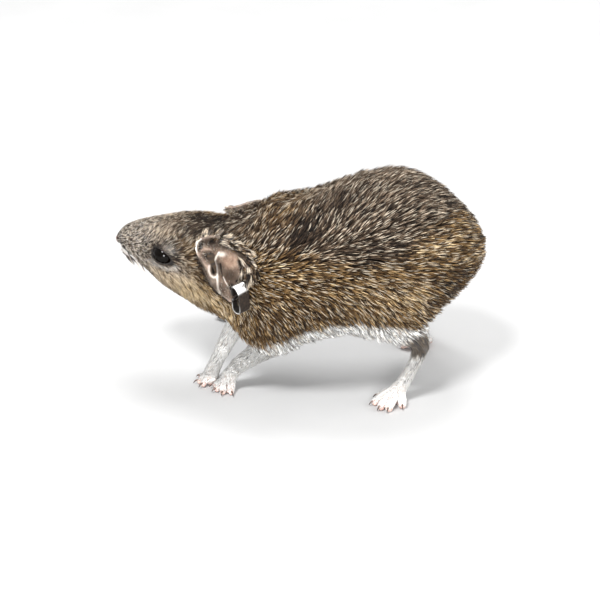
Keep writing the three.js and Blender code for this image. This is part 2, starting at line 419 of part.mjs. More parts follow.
// Ear: a cup drawn from its root to the rim, thickest at the root.
function ear(e) {
  const n = unit(e.hollow), rim = new THREE.CatmullRomCurve3(e.rim.map((p) => V(p)), true, "catmullrom", 0.5), pos = [], index = [];
  for (const side of [0, 1]) {
    const face = (p, r) => add(p, n, -e.cup * 4 * r * (1 - r) - side * EAR_THICK * (r === 1 ? 0.55 : 1 + 0.8 * (1 - r)));
    pos.push(face(e.root, 0));
    for (const r of EAR_RINGS) for (let k = 0; k < EAR_SIDES; k++) {
      const q = rim.getPoint(k / EAR_SIDES);
      pos.push(face(add(e.root, sub([q.x, q.y, q.z], e.root), r), r));
    }
  }
  const half = 1 + EAR_RINGS.length * EAR_SIDES, at = (side, i, k) => side * half + 1 + i * EAR_SIDES + (k % EAR_SIDES);
  for (let k = 0; k < EAR_SIDES; k++) {
    index.push(0, at(0, 0, k), at(0, 0, k + 1), half, at(1, 0, k + 1), at(1, 0, k));
    for (let i = 1; i < EAR_RINGS.length; i++) {
      index.push(at(0, i - 1, k), at(0, i, k), at(0, i, k + 1), at(0, i - 1, k), at(0, i, k + 1), at(0, i - 1, k + 1));
      index.push(at(1, i - 1, k), at(1, i, k + 1), at(1, i, k), at(1, i - 1, k), at(1, i - 1, k + 1), at(1, i, k + 1));
    }
    const o = EAR_RINGS.length - 1;
    index.push(at(0, o, k), at(1, o, k), at(1, o, k + 1), at(0, o, k), at(1, o, k + 1), at(0, o, k + 1));
  }
  // keep the faces turned outwards
  let volume = 0;
  for (let i = 0; i < index.length; i += 3) volume += dot(pos[index[i]], cross(pos[index[i + 1]], pos[index[i + 2]]));
  if (volume < 0) for (let i = 0; i < index.length; i += 3) [index[i + 1], index[i + 2]] = [index[i + 2], index[i + 1]];
  return geometry(pos, index);
}
// Band: a flat strip bent into a long loop; grow enlarges it for cutting room in the ear.
function band(grow = 0) {
  const L = unit(BAND.along), A = unit(sub(BAND.across, L.map((v) => v * dot(BAND.across, L)))), W = cross(L, A);
  // moves each side of a convex outline outwards by d
  const offset = (pts, d) => pts.map((b, i) => {
    const a = pts[(i + pts.length - 1) % pts.length], c = pts[(i + 1) % pts.length], u = unit([b[0] - a[0], b[1] - a[1], 0]), v = unit([c[0] - b[0], c[1] - b[1], 0]);
    const k = d / (1 + dot(u, v));
    return new THREE.Vector2(b[0] + (u[1] + v[1]) * k, b[1] - (u[0] + v[0]) * k);
  });
  const o = new THREE.Shape(offset(BAND.outline, grow));
  o.holes.push(new THREE.Path(offset(BAND.outline, -BAND.strip - grow)));
  const g = new THREE.ExtrudeGeometry(o, { depth: BAND.width + 2 * grow, bevelEnabled: false });
  g.translate(0, 0, -BAND.width / 2 - grow);
  g.applyMatrix4(new THREE.Matrix4().makeBasis(V(L), V(A), V(W)).setPosition(...BAND.centre));
  return g;
}
const headOut = solid(skinOf((P) => coreField(P) - GAP, [-26, -17, 12], [6, 18, 42], 1.6));
for (const [name, e] of Object.entries(EARS)) {
  let m = solid(ear(e)).subtract(headOut);
  if (name === "ear_left") m = m.subtract(solid(band(GAP)));
  parts[name] = back(largest(m));
}
parts.ear_band = back(solid(band()));

// ------------------------------------------------------------------ finish and assembly
const COAT = { color: 0x6f5f4c, roughness: 0.85, metalness: 0 };
const PALE = { color: 0xd8d2cc, roughness: 0.8, metalness: 0 };
const SKIN = { color: 0xc49a8c, roughness: 0.6, metalness: 0 };
const DARK = { color: 0x0d0a09, roughness: 0.08, metalness: 0 };
const METAL = { color: 0xb8b8b6, roughness: 0.3, metalness: 1 };
const LOOK = (name) =>
  name.startsWith("eye") ? DARK : name === "ear_band" ? METAL : name.startsWith("ear") || name === "nose" ? SKIN
  : /foot|foreleg/.test(name) ? PALE : COAT;

const mouse = new THREE.Group();
mouse.name = "field_mouse";
for (const [name, g] of Object.entries(parts)) {
  const mesh = new THREE.Mesh(g, new THREE.MeshStandardMaterial(LOOK(name)));
  mesh.name = name;
  mouse.add(mesh);
}
// The origin is under the middle of the animal's box, on the floor.
const box = new THREE.Box3().setFromObject(mouse);
mouse.position.set(-(box.min.x + box.max.x) / 2, -(box.min.y + box.max.y) / 2, -box.min.z);

export default mouse;
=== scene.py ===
"""Field mouse: visual model, floor, light and camera. Lengths are in millimetres until a mesh is made."""
import math

import bpy
import numpy as np
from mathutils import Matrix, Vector, kdtree


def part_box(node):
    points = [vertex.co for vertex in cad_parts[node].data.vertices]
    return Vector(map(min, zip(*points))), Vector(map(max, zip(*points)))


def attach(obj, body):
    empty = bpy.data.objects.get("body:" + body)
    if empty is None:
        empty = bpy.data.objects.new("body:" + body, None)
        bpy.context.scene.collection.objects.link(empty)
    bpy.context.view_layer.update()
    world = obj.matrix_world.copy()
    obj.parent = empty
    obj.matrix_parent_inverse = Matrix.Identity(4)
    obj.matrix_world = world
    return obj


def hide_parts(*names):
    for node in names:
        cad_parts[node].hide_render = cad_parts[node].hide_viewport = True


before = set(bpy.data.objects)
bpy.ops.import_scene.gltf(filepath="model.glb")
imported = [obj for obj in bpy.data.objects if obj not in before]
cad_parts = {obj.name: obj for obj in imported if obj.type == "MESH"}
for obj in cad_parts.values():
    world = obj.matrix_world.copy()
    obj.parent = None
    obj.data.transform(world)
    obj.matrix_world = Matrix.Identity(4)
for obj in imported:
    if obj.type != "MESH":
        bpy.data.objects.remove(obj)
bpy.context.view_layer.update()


# ---------------------------------------------------------------- small maths
def pchip(x, y, q):
    x, y = np.asarray(x, float), np.asarray(y, float)
    h = np.diff(x)
    d = np.diff(y) / h
    m = np.zeros(len(x))
    for i in range(1, len(x) - 1):
        if d[i - 1] * d[i] > 0:
            a, b = 2 * h[i] + h[i - 1], h[i] + 2 * h[i - 1]
            m[i] = (a + b) / (a / d[i - 1] + b / d[i])
    m[0], m[-1] = d[0], d[-1]
    q = np.clip(q, x[0], x[-1])
    i = np.clip(np.searchsorted(x, q, side="right") - 1, 0, len(x) - 2)
    w = x[i + 1] - x[i]
    t = (q - x[i]) / w
    t2 = t * t
    t3 = t2 * t
    return (2 * t3 - 3 * t2 + 1) * y[i] + (t3 - 2 * t2 + t) * w * m[i] + (-2 * t3 + 3 * t2) * y[i + 1] + (t3 - t2) * w * m[i + 1]


def smin(a, b, k):
    h = np.maximum(k - np.abs(a - b), 0.0) / k
    return np.minimum(a, b) - h * h * k * 0.25


def smax(a, b, k):
    return -smin(-a, -b, k)


def ramp(a, b, x):
    """0 below a, 1 above b, smooth between."""
    t = np.clip((x - a) / (b - a), 0, 1)
    return t * t * (3 - 2 * t)


def unit(v):
    v = np.asarray(v, float)
    return v / np.maximum(np.linalg.norm(v, axis=-1, keepdims=True), 1e-12)


def lerp(a, b, w):
    return a + (b - a) * w


# ---------------------------------------------------------------- the body's form, as in the solids
YAW, PITCH, ROLL = 21.0, 3.0, 19.0
NOSE_TIP = np.array([-32.7, 8.0, 25.6])


def head_frame(a, p, r):
    a, p, r = map(math.radians, (a, p, r))
    f = np.array([-math.cos(a) * math.cos(p), math.sin(a) * math.cos(p), math.sin(p)])
    l = unit(np.cross([0, 0, 1.0], f))
    u = np.cross(f, l)
    return f, l * math.cos(r) - u * math.sin(r), u * math.cos(r) + l * math.sin(r)


HF, HL, HU = head_frame(YAW, PITCH, ROLL)


def head_point(s, t, w):
    return NOSE_TIP - HF * s + HL * t + HU * w


def head_coords(P):
    q = P - NOSE_TIP
    return -(q @ HF), q @ HL, q @ HU


# distance behind the nose tip, lift, half width, height up, height down
HEAD_SECTIONS = [
    [0.0, 0.15, 0.9, 0.85, 1.0],
    [1.6, 0.95, 2.3, 1.9, 2.3],
    [4.4, 0.9, 3.85, 3.45, 3.85],
    [7.5, 0.5, 5.35, 5.05, 5.25],
    [11.0, 0.05, 7.0, 6.75, 6.65],
    [15.0, -0.2, 8.15, 8.0, 7.9],
    [19.5, -0.7, 9.0, 8.85, 9.55],
]
# x, y, z, yaw, pitch, roll, half width, height up, height down
TRUNK_SECTIONS = [
    [-9.0, 0.6, 23.8, 15, 3, 14, 10.7, 10.7, 11.6],
    [-3.6, -0.6, 23.4, 8, 2, 7, 12.9, 14.1, 13.2],
    [2.0, -1.6, 24.4, 2, 0, 2, 13.1, 13.7, 13.4],
    [7.1, -1.8, 26.0, -2, 0, 0, 13.2, 13.9, 13.7],
    [12.5, -1.4, 26.8, -6, 0, 0, 13.8, 14.6, 14.3],
    [17.1, -0.4, 27.0, -10, 0, 0, 13.9, 14.7, 14.1],
    [21.5, 1.2, 27.1, -14, 0, 0, 12.9, 13.2, 12.5],
    [25.2, 2.8, 27.1, -17, 0, 0, 11.3, 10.5, 10.0],
    [28.3, 4.0, 26.9, -19, 0, 0, 8.9, 7.3, 7.2],
    [30.7, 4.9, 26.5, -20, 0, 0, 5.8, 4.4, 4.4],
    [32.1, 5.3, 26.3, -20, 0, 0, 2.2, 1.6, 1.6],
]
MUSCLES = [
    ([15.9, -6.2, 21.4], [0.25, -0.15, -1], [1, 0, 0.4], [9.0, 6.8, 7.9]),
    ([17.6, 7.0, 21.2], [0.1, 0.3, -1], [1, 0, 0.2], [9.2, 6.4, 8.0]),
    ([-4.6, -6.0, 17.8], [-0.35, 0.0, -1], [1, 0, 0], [7.8, 4.8, 7.0]),
    ([-5.6, 4.6, 18.0], [-0.45, -0.2, -1], [1, 0, 0], [8.4, 4.8, 6.6]),
]
MUSCLE_BLEND = 3.2
LIMBS = {
    "foreleg_left": [[-3.4, -5.2, 12.6, 3.3], [-7.4, -4.0, 8.6, 2.0], [-11.4, -2.5, 4.9, 1.35]],
    "foreleg_right": [[-8.6, 2.6, 14.6, 2.9], [-12.1, 1.4, 10.2, 1.75], [-14.5, 0.3, 5.8, 1.25]],
    "hindleg_left": [[18.4, -8.2, 15.6, 2.9], [21.2, -8.4, 12.4, 1.6], [20.7, -8.0, 9.4, 1.2]],
    "hindleg_right": [[19.4, 9.2, 16.0, 3.2], [22.8, 12.0, 12.2, 1.6], [22.9, 12.9, 9.4, 1.2]],
}
LIMB_BLEND = 2.2
EYE = {"s": 11.5, "t": 4.95, "w": 3.2, "r": 2.0}
EYE_L, EYE_R = head_point(EYE["s"], EYE["t"], EYE["w"]), head_point(EYE["s"], -EYE["t"] + 0.434, EYE["w"] - 0.434)
_lo, _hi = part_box("eye_left")
SHIFT = np.array((_lo + _hi) / 2) * 1000 - EYE_L  # from this file's raw frame to the row frame


class Loft:
    """Sections strung along a turning spine. Its value is negative inside and near a distance."""

    def __init__(self, rows, n=600):
        R = np.array(rows, float)
        k = np.concatenate([[0], np.cumsum(np.linalg.norm(np.diff(R[:, :3], axis=0), axis=1))])
        t = np.linspace(-6, k[-1] + 6, n)
        tc = np.clip(t, 0, k[-1])
        e = t - tc

        def col(v, ext=False):
            y = pchip(k, v, tc)
            if ext:
                h = 1e-3
                y = y + np.where(e < 0, e * (pchip(k, v, h) - v[0]) / h, e * (v[-1] - pchip(k, v, k[-1] - h)) / h)
            return y

        self.t, self.dt, self.len = t, t[1] - t[0], k[-1]
        C = np.stack([col(R[:, j], True) for j in range(3)], 1)
        yaw, pitch, roll = [np.radians(col(R[:, j])) for j in (3, 4, 5)]
        f = np.stack([-np.cos(yaw) * np.cos(pitch), np.sin(yaw) * np.cos(pitch), np.sin(pitch)], 1)
        l = unit(np.cross(np.array([0, 0, 1.0]), f))
        u = np.cross(f, l)
        c, s = np.cos(roll)[:, None], np.sin(roll)[:, None]
        T, L, U = -f, l * c - u * s, u * c + l * s
        Q = col(R[:, 7] ** 2, True)
        dC, dT = np.gradient(C, t, axis=0), np.gradient(T, t, axis=0)
        tail = [(dC * T).sum(1), Q, col(R[:, 7] / R[:, 6]), col(R[:, 7] / R[:, 8]), np.gradient(Q, t)]
        self.A = np.concatenate([C, T, L, U, dT] + [v[:, None] for v in tail], 1)

    def at(self, t):
        x = np.clip((t - self.t[0]) / self.dt, 0, len(self.t) - 1.001)
        i = x.astype(int)
        h = (x - i)[:, None]
        return self.A[i] * (1 - h) + self.A[i + 1] * h

    def local(self, P):
        """station, offset to the left, offset up, and the spine's row."""
        t = np.interp(P[:, 0], self.A[:, 0], self.t)
        for _ in range(5):
            r = self.at(t)
            q = P - r[:, 0:3]
            g = (q * r[:, 3:6]).sum(1)
            den = r[:, 15] - (q * r[:, 12:15]).sum(1)
            t = np.clip(t + g / np.maximum(den, 0.35), self.t[0], self.t[-1])
        r = self.at(t)
        q = P - r[:, 0:3]
        return t, (q * r[:, 6:9]).sum(1), (q * r[:, 9:12]).sum(1), r

    @staticmethod
    def value(a, b, r):
        Q, rW, rD, h = r[:, 16], r[:, 17], np.where(b < 0, r[:, 18], 1.0), r[:, 19] / 2
        g2 = (a * rW) ** 2 + (b * rD) ** 2
        ga = np.sqrt((a * rW * rW) ** 2 + (b * rD * rD) ** 2 + h * h)
        sc = np.sqrt(np.maximum(Q, 0) / np.maximum(g2, 1e-6))
        gs = np.sqrt((a * rW * rW * sc) ** 2 + (b * rD * rD * sc) ** 2 + h * h)
        return (g2 - Q) / np.maximum(ga + gs, 1e-3)


BODY = Loft([[*(head_point(s, 0, 0) + [0, 0, lift]), YAW, PITCH, ROLL, w, hu, hd] for s, lift, w, hu, hd in HEAD_SECTIONS] + TRUNK_SECTIONS)


def ellipsoid(P, c, d, up, R):
    a = unit(d)
    cc = unit(np.cross(a, up))
    b = np.cross(cc, a)
    q = (P - np.array(c)) @ np.array([a, cc, b]).T / np.array(R)
    k0 = np.linalg.norm(q, axis=1)
    k1 = np.linalg.norm(q / np.array(R), axis=1)
    return k0 * (k0 - 1) / np.maximum(k1, 1e-6)


def cone(P, a, b):
    a, b = np.asarray(a, float), np.asarray(b, float)
    ba = b[:3] - a[:3]
    pa = P - a[:3]
    h = np.clip(pa @ ba / max(ba @ ba, 1e-9), 0, 1)
    return np.linalg.norm(pa - h[:, None] * ba, axis=1) - (a[3] + (b[3] - a[3]) * h)


def smooth_chain(pts, steps):
    """Catmull-Rom curve through points that also carry a radius."""
    A = np.array(pts, float)
    n = len(A) - 1
    out = []
    for i in range(steps + 1):
        x = min(i / steps * n, n - 1e-9)
        k = int(x)
        t = x - k
        p1, p2 = A[k, :3], A[k + 1, :3]
        p0 = A[k - 1, :3] if k > 0 else 2 * p1 - p2
        p3 = A[k + 2, :3] if k + 2 <= n else 2 * p2 - p1
        out.append(0.5 * (2 * p1 + (p2 - p0) * t + (2 * p0 - 5 * p1 + 4 * p2 - p3) * t * t + (3 * p1 - p0 - 3 * p2 + p3) * t**3))
    r = pchip(np.arange(n + 1), A[:, 3], np.linspace(0, n, steps + 1))
    return np.concatenate([np.array(out), r[:, None]], 1)


def chain_field(P, c, k=0.0):
    F = None
    for a, b in zip(c[:-1], c[1:]):
        d = cone(P, a, b)
        F = d if F is None else (np.minimum(F, d) if k == 0 else smin(F, d, k))
    return F


CHAINS = {k: smooth_chain(v, 6) for k, v in LIMBS.items()}


for _k, _c in CHAINS.items():
    _c_lo, _c_hi = _c[:, :3].min(0) - 6.5, _c[:, :3].max(0) + 6.5
    CHAINS[_k] = (_c, _c_lo, _c_hi)


def form(P):
    """At points P: station, left, up, spine row, the coat's outer surface value and the limbs' share."""
    t, a, b, r = BODY.local(P)
    C = Loft.value(a, b, r)
    for m in MUSCLES:
        near = ((P - m[0]) ** 2).sum(1) < 18.0**2
        if near.any():
            C[near] = smin(C[near], ellipsoid(P[near], *m), MUSCLE_BLEND)
    F, limb = C.copy(), np.zeros(len(P))
    for c, lo, hi in CHAINS.values():
        near = ((P > lo) & (P < hi)).all(1)
        if near.any():
            d = chain_field(P[near], c)
            limb[near] = np.maximum(limb[near], ramp(-0.8, 1.6, C[near] - d))
            F[near] = smin(F[near], d, LIMB_BLEND)
    return t, a, b, r, F, limb


def whole(P):
    """The coat's outer surface, without the feet."""
    return form(P)[4]


def gradient(f, P, e=0.03):
    return np.stack([f(P + d) - f(P - d) for d in np.eye(3) * e], 1) / (2 * e)


# feet: shaft, pad (centre and half sizes) and digits as root, knuckle, tip
FORE_R, HIND_R = 0.54, 0.72
FEET = {
    "forefoot_left": dict(
        shaft=[[-9.6, -3.2, 6.6, 1.5], [-11.4, -2.5, 4.7, 1.3], [-12.7, -2.3, 2.8, 1.4], [-13.2, -2.4, 1.6, 1.35]],
        pad=[-13.1, -2.5, 0.72, 1.35, 1.5, 1.15],
        digits=[[[-13.7, -1.6, 1.4], [-14.7, -1.4, 1.0], [-15.3, -1.5, 0.45]], [[-13.8, -2.3, 1.45], [-14.6, -2.6, 1.05], [-15.0, -2.9, 0.45]], [[-13.4, -2.8, 1.4], [-13.8, -3.5, 1.0], [-13.9, -4.0, 0.45]], [[-12.8, -2.9, 1.3], [-12.6, -3.5, 0.95], [-12.4, -4.1, 0.45]]],
        r=FORE_R, leg="foreleg_left"),
    "forefoot_right": dict(
        shaft=[[-14.0, 0.5, 7.2, 1.3], [-15.0, 0.3, 4.7, 1.2], [-15.9, 0.5, 2.7, 1.3], [-16.2, 0.6, 1.6, 1.25]],
        pad=[-16.1, 0.7, 0.72, 1.3, 1.45, 1.15],
        digits=[[[-16.2, 1.5, 1.3], [-16.7, 2.4, 0.95], [-17.0, 3.0, 0.48]], [[-16.7, 1.0, 1.4], [-17.5, 1.5, 1.0], [-18.0, 1.9, 0.48]], [[-16.8, 0.4, 1.4], [-17.6, 0.3, 1.0], [-18.2, 0.2, 0.48]], [[-16.5, -0.1, 1.35], [-17.1, -0.6, 0.95], [-17.5, -1.0, 0.48]]],
        r=FORE_R, leg="foreleg_right"),
    "hindfoot_left": dict(
        shaft=[[21.3, -8.3, 12.0, 1.4], [20.6, -7.9, 9.0, 1.2], [19.1, -7.0, 5.2, 1.25], [17.8, -6.5, 2.6, 1.5], [17.1, -6.7, 1.6, 1.45]],
        pad=[17.2, -6.8, 0.75, 1.6, 1.75, 1.25],
        digits=[[[16.5, -5.9, 1.5], [15.3, -5.6, 1.1], [14.3, -5.6, 0.55]], [[16.2, -6.7, 1.7], [14.7, -7.5, 1.25], [13.4, -8.1, 0.55]], [[16.4, -7.4, 1.7], [15.2, -8.8, 1.25], [14.4, -9.9, 0.55]], [[17.0, -7.9, 1.6], [16.2, -9.4, 1.15], [15.8, -10.5, 0.55]], [[17.9, -7.6, 1.6], [18.2, -8.5, 1.1], [18.2, -9.3, 0.55]]],
        r=HIND_R, leg="hindleg_left"),
    "hindfoot_right": dict(
        shaft=[[22.9, 12.1, 12.0, 1.4], [22.9, 12.9, 9.0, 1.2], [22.8, 14.0, 5.2, 1.25], [22.6, 14.8, 2.6, 1.5], [22.4, 15.0, 1.6, 1.45]],
        pad=[22.4, 15.1, 0.75, 1.7, 1.65, 1.25],
        digits=[[[21.47, 14.49, 1.5], [20.24, 14.62, 1.1], [19.39, 14.92, 0.55]], [[21.46, 15.34, 1.7], [20.32, 16.61, 1.25], [19.44, 17.68, 0.55]], [[21.89, 15.93, 1.7], [21.37, 17.72, 1.25], [20.99, 19.02, 0.55]], [[22.62, 16.2, 1.6], [22.48, 17.84, 1.15], [22.51, 19.11, 0.55]], [[23.37, 15.61, 1.6], [24.05, 16.32, 1.1], [24.36, 17.16, 0.55]]], r=HIND_R, leg="hindleg_right"),
}


# ---------------------------------------------------------------- camera geometry, used to place features
ELEV, DIST, SCALE = math.radians(25.0), 420.0, 5.6
TARGET = np.array([0.0, 0.0, 16.9])
BACK = np.array([0.0, -math.cos(ELEV), math.sin(ELEV)])
CAM = TARGET + BACK * DIST
RIGHT = np.array([1.0, 0, 0])
UP = np.cross(BACK, RIGHT)


def to_picture(P):
    q = P - CAM
    z = -(q @ BACK)
    return np.stack([300 + SCALE * DIST * (q @ RIGHT) / z, 300 - SCALE * DIST * (q @ UP) / z], 1)

EARS = {
    "ear_left": {
        "root": [-15.12, -6.72, 26.55], "hollow": [-0.607, -0.715, 0.347], "cup": 0.5,
        "rim": [[-17.95, -6.38, 29.11], [-18.06, -5.69, 30.14], [-17.46, -5.09, 31.03], [-14.28, -5.93, 31.96], [-10.38, -9.96, 31.85], [-8.26, -13.98, 30.07],
                [-8.44, -14.82, 28.18], [-10.23, -14.34, 23.97], [-10.96, -13.72, 22.72], [-12.55, -12.19, 22.58], [-15.33, -10.04, 24.27], [-17.24, -7.73, 27.61]],
    },
    "ear_right": {
        "root": [-8.8, 5.05, 32.63], "hollow": [-0.345, 0.456, 0.82], "cup": 0.25,
        "rim": [[-12.86, 4.74, 32.75], [-13.18, 4.29, 33.04], [-13.07, 3.69, 33.2], [-11.1, 2.42, 34.16], [-8.16, 4.27, 34.29], [-6.91, 8.33, 32.68],
                [-6.63, 10.08, 31.86], [-6.93, 11.9, 29.85], [-7.08, 12.23, 29.16], [-7.75, 11.61, 28.98], [-8.81, 9.28, 30.38], [-11.79, 5.74, 32.46]],
    },
}
EAR_THICK = 0.62
FOOT_CUTS = {
    "forefoot_left": ([-10.4, -2.9, 5.8], [-0.7, 0.2, -0.68]),
    "forefoot_right": ([-14.0, 0.5, 6.9], [-0.45, -0.2, -0.87]),
    "hindfoot_left": ([20.9, -8.1, 10.8], [-0.3, 0.15, -0.94]),
    "hindfoot_right": ([22.9, 12.4, 10.8], [-0.03, 0.2, -0.97]),
}
for _n, _f in FEET.items():
    hind = _n.startswith("hind")
    thin = 0.3 if hind else 0.25
    _f["chain"] = smooth_chain([[x, y, z, r - (thin if z > 2 else 0.15)] for x, y, z, r in _f["shaft"]], 8)
    _f["toes"] = []
    for root, knuckle, tip in _f["digits"]:
        root, knuckle, tip = (np.array(v, float) for v in (root, knuckle, tip))
        r = _f["r"]
        mid = (root + knuckle) / 2 + [0, 0, 0.12]
        low = (knuckle + tip) / 2
        _f["toes"].append(np.array([[*root, r * 0.95], [*mid, r * 0.8], [*knuckle, r * 0.9], [*low, r * 0.78], [*tip, r * 0.86]]))
    box = np.array([p[:3] for p in _f["shaft"]] + [p for d in _f["digits"] for p in d])
    _f["lo"], _f["hi"] = box.min(0) - 3.2, box.max(0) + 3.2


def foot_field(P, f):
    F = chain_field(P, f["chain"], 0.3)
    c = f["pad"]
    F = smin(F, ellipsoid(P, c[:3], [1, 0, 0], [0, 0, 1], [c[3] - 0.08, c[4] - 0.08, c[5] - 0.04]), 0.5)
    T = None
    for toe in f["toes"]:
        d = chain_field(P, toe, 0.14)
        T = d if T is None else np.minimum(T, d)
    F = smin(F, T, 0.42)
    return smax(F, -P[:, 2] + 0.01, 0.12)


def coat_depth(t, limb):
    d = pchip([0, 1.5, 4, 8, 13, 19, 25, 33, 58, 66, 70], [0.02, 0.06, 0.16, 0.28, 0.45, 0.8, 1.25, 1.6, 1.7, 1.3, 1.0], t)
    return lerp(d, 0.34, limb)


def eye_frame(E, side):
    """Outward, forward-low to rear-low axes of an eye's opening."""
    out = unit(HL * side * 0.74 + HU * 0.62 + HF * 0.04)
    along = unit(-HF * 0.93 - HU * 0.42 + HL * side * 0.1)
    along = unit(along - out * (along @ out))
    return out, along, np.cross(out, along) * side


EYES = [(EYE_L, 1.0), (EYE_R, -1.0)]
LID = 0.3
OPEN_LONG, OPEN_UP, OPEN_DOWN = 2.0, 0.82, 1.2


def lid_opening(P, E, side):
    """Below 1 inside the eye's opening."""
    out, along, over = eye_frame(E, side)
    q = P - E
    x, y, z = q @ along, q @ over, q @ out
    k = np.sqrt(np.maximum(1 - np.minimum((x / OPEN_LONG) ** 2, 1), 0.0))
    up = np.where(y > 0, OPEN_UP, OPEN_DOWN)
    v = np.sqrt((x / OPEN_LONG) ** 2 + (y / up) ** 2)
    return np.where(z > 0.2, v, 3.0), x, y, z


def head_detail(P, F):
    """Nose, lips, whisker pads and eyelids, worked into the skin's value F at points P of the head."""
    s, t, w = head_coords(P)
    at = np.abs(t)
    H = np.stack([s, at, w], 1)

    def ball(c, R):
        q = (H - np.array(c)) / np.array(R)
        k0 = np.linalg.norm(q, axis=1)
        return k0 * (k0 - 1) / np.maximum(np.linalg.norm(q / np.array(R), axis=1), 1e-6)

    F = smin(F, ball([3.5, 1.75, -0.55], [2.1, 1.35, 1.5]), 0.9)  # whisker pads
    F = smin(F, ball([3.9, 0.0, -2.05], [1.9, 1.25, 1.05]), 0.6)  # chin
    F = smin(F, ball([0.55, 0.52, 0.25], [0.72, 0.5, 0.62]), 0.3)  # the nose's two lobes
    F = smax(F, -ball([0.25, 0.72, 0.0], [0.42, 0.26, 0.24]), 0.16)  # nostrils
    F = smax(F, -chain_field(H, np.array([[0.0, 0, -0.1, 0.1], [0.5, 0, -0.95, 0.16], [1.6, 0, -1.75, 0.16]]), 0.05), 0.18)  # cleft below the nose
    mouth = np.array([[1.5, 0.0, -1.75, 0.14], [2.8, 0.75, -2.1, 0.15], [4.6, 1.75, -2.35, 0.16], [6.6, 2.85, -2.5, 0.12]])
    F = smax(F, -chain_field(H, mouth, 0.05), 0.22)
    for E, side in EYES:
        v, x, y, z = lid_opening(P, E, side)
        d = np.linalg.norm(P - E, axis=1)
        lids = smax(d - (EYE["r"] + (LID if side > 0 else LID * 0.6)), (1 - v) * 0.9, 0.14)
        F = smin(F, lids, 0.55)
        # the opening itself and the ball's seat
        cut = smax(np.abs(d - EYE["r"] - 0.6) - 0.75, (v - 1) * 0.9, 0.12)
        F = smax(F, -cut, 0.1)
        F = np.maximum(F, EYE["r"] + 0.015 - d)
        # a soft fold over the upper lid and a bag under the lower one
        F = F + 0.10 * np.exp(-(((v - 1.42) / 0.13) ** 2)) * ramp(3.0, 2.2, v)
    return F


def skin(P):
    """The skin's value: the coat's outer surface moved in by the coat's depth, with its folds and feet."""
    t, a, b, r, F, limb = form(P)
    F = F + coat_depth(t, limb)
    near = t < 17.5
    if near.any():
        F[near] = head_detail(P[near], F[near])
    for f in FEET.values():
        m = ((P > f["lo"]) & (P < f["hi"])).all(1)
        if m.any():
            F[m] = smin(F[m], foot_field(P[m], f), 0.5)
    return F


# ---------------------------------------------------------------- surface nets
def lattice(f, lo, hi, h):
    """Values of f on a grid, worked out only near its surface."""
    k = 4
    lo, hi = np.array(lo, float), np.array(hi, float)
    nc = np.ceil((hi - lo) / (h * k)).astype(int)
    ax = [lo[i] + np.arange(nc[i] + 1) * h * k for i in range(3)]
    Cc = np.stack(np.meshgrid(*ax, indexing="ij"), -1)
    V = f(Cc.reshape(-1, 3)).reshape(nc + 1)
    m = np.full(nc, np.inf)
    for i in (0, 1):
        for j in (0, 1):
            for l in (0, 1):
                m = np.minimum(m, np.abs(V[i : nc[0] + i, j : nc[1] + j, l : nc[2] + l]))
    active = m < h * k * 1.25
    n = nc * k
    F = np.repeat(np.repeat(np.repeat(V[:-1, :-1, :-1], k, 0), k, 1), k, 2)
    A = np.repeat(np.repeat(np.repeat(active, k, 0), k, 1), k, 2)
    I = np.argwhere(A)
    out = np.empty(len(I))
    for c in range(0, len(I), 200000):
        out[c : c + 200000] = f(lo + I[c : c + 200000] * h)
    F[A] = np.where(out == 0, 1e-9, out)
    return F, lo


def nets(f, lo, hi, h, passes=2):
    F, org = lattice(f, lo, hi, h)
    n = np.array(F.shape)
    m = n - 1
    cells, pts = [], []
    for ax in range(3):
        a, b = [slice(None)] * 3, [slice(None)] * 3
        a[ax], b[ax] = slice(0, -1), slice(1, None)
        fa, fb = F[tuple(a)], F[tuple(b)]
        cross = (fa < 0) != (fb < 0)
        I = np.argwhere(cross)
        pos = I.astype(float)
        pos[:, ax] += fa[cross] / (fa[cross] - fb[cross])
        o = [k for k in range(3) if k != ax]
        for d0 in (0, -1):
            for d1 in (0, -1):
                J = I.copy()
                J[:, o[0]] += d0
                J[:, o[1]] += d1
                ok = ((J >= 0) & (J < m)).all(1)
                cells.append((J[ok, 0] * m[1] + J[ok, 1]) * m[2] + J[ok, 2])
                pts.append(pos[ok])
    cells, pts = np.concatenate(cells), np.concatenate(pts)
    ids, inv = np.unique(cells, return_inverse=True)
    cnt = np.bincount(inv)
    V = np.stack([np.bincount(inv, pts[:, i]) for i in range(3)], 1) / cnt[:, None]
    V = V * h + org
    lookup = np.full(m.prod(), -1, np.int64)
    lookup[ids] = np.arange(len(ids))
    quads = []
    for ax in range(3):
        a, b = [slice(None)] * 3, [slice(None)] * 3
        a[ax], b[ax] = slice(0, -1), slice(1, None)
        fa, fb = F[tuple(a)], F[tuple(b)]
        cross = (fa < 0) != (fb < 0)
        I = np.argwhere(cross)
        inside = (fa < 0)[cross]
        o = [k for k in range(3) if k != ax]
        if ax == 1:
            o = o[::-1]
        ok = (I[:, o[0]] > 0) & (I[:, o[1]] > 0) & (I[:, o[0]] < m[o[0]]) & (I[:, o[1]] < m[o[1]])
        I, inside = I[ok], inside[ok]
        c = []
        for d0, d1 in ((-1, -1), (0, -1), (0, 0), (-1, 0)):
            J = I.copy()
            J[:, o[0]] += d0
            J[:, o[1]] += d1
            c.append(lookup[(J[:, 0] * m[1] + J[:, 1]) * m[2] + J[:, 2]])
        q = np.stack(c, 1)
        q[~inside] = q[~inside][:, ::-1]
        quads.append(q)
    Q = np.concatenate(quads)
    Q = Q[(Q >= 0).all(1)]
    for _ in range(passes):
        f0 = f(V)
        g = np.stack([f(V + d) - f0 for d in np.eye(3) * (h * 0.05)], 1) / (h * 0.05)
        gg = (g * g).sum(1)
        k = np.where(gg > 0.04, np.clip(-f0 / np.maximum(gg, 0.04), -0.4 * h, 0.4 * h), 0)
        V = V + g * k[:, None]
    return V, Q


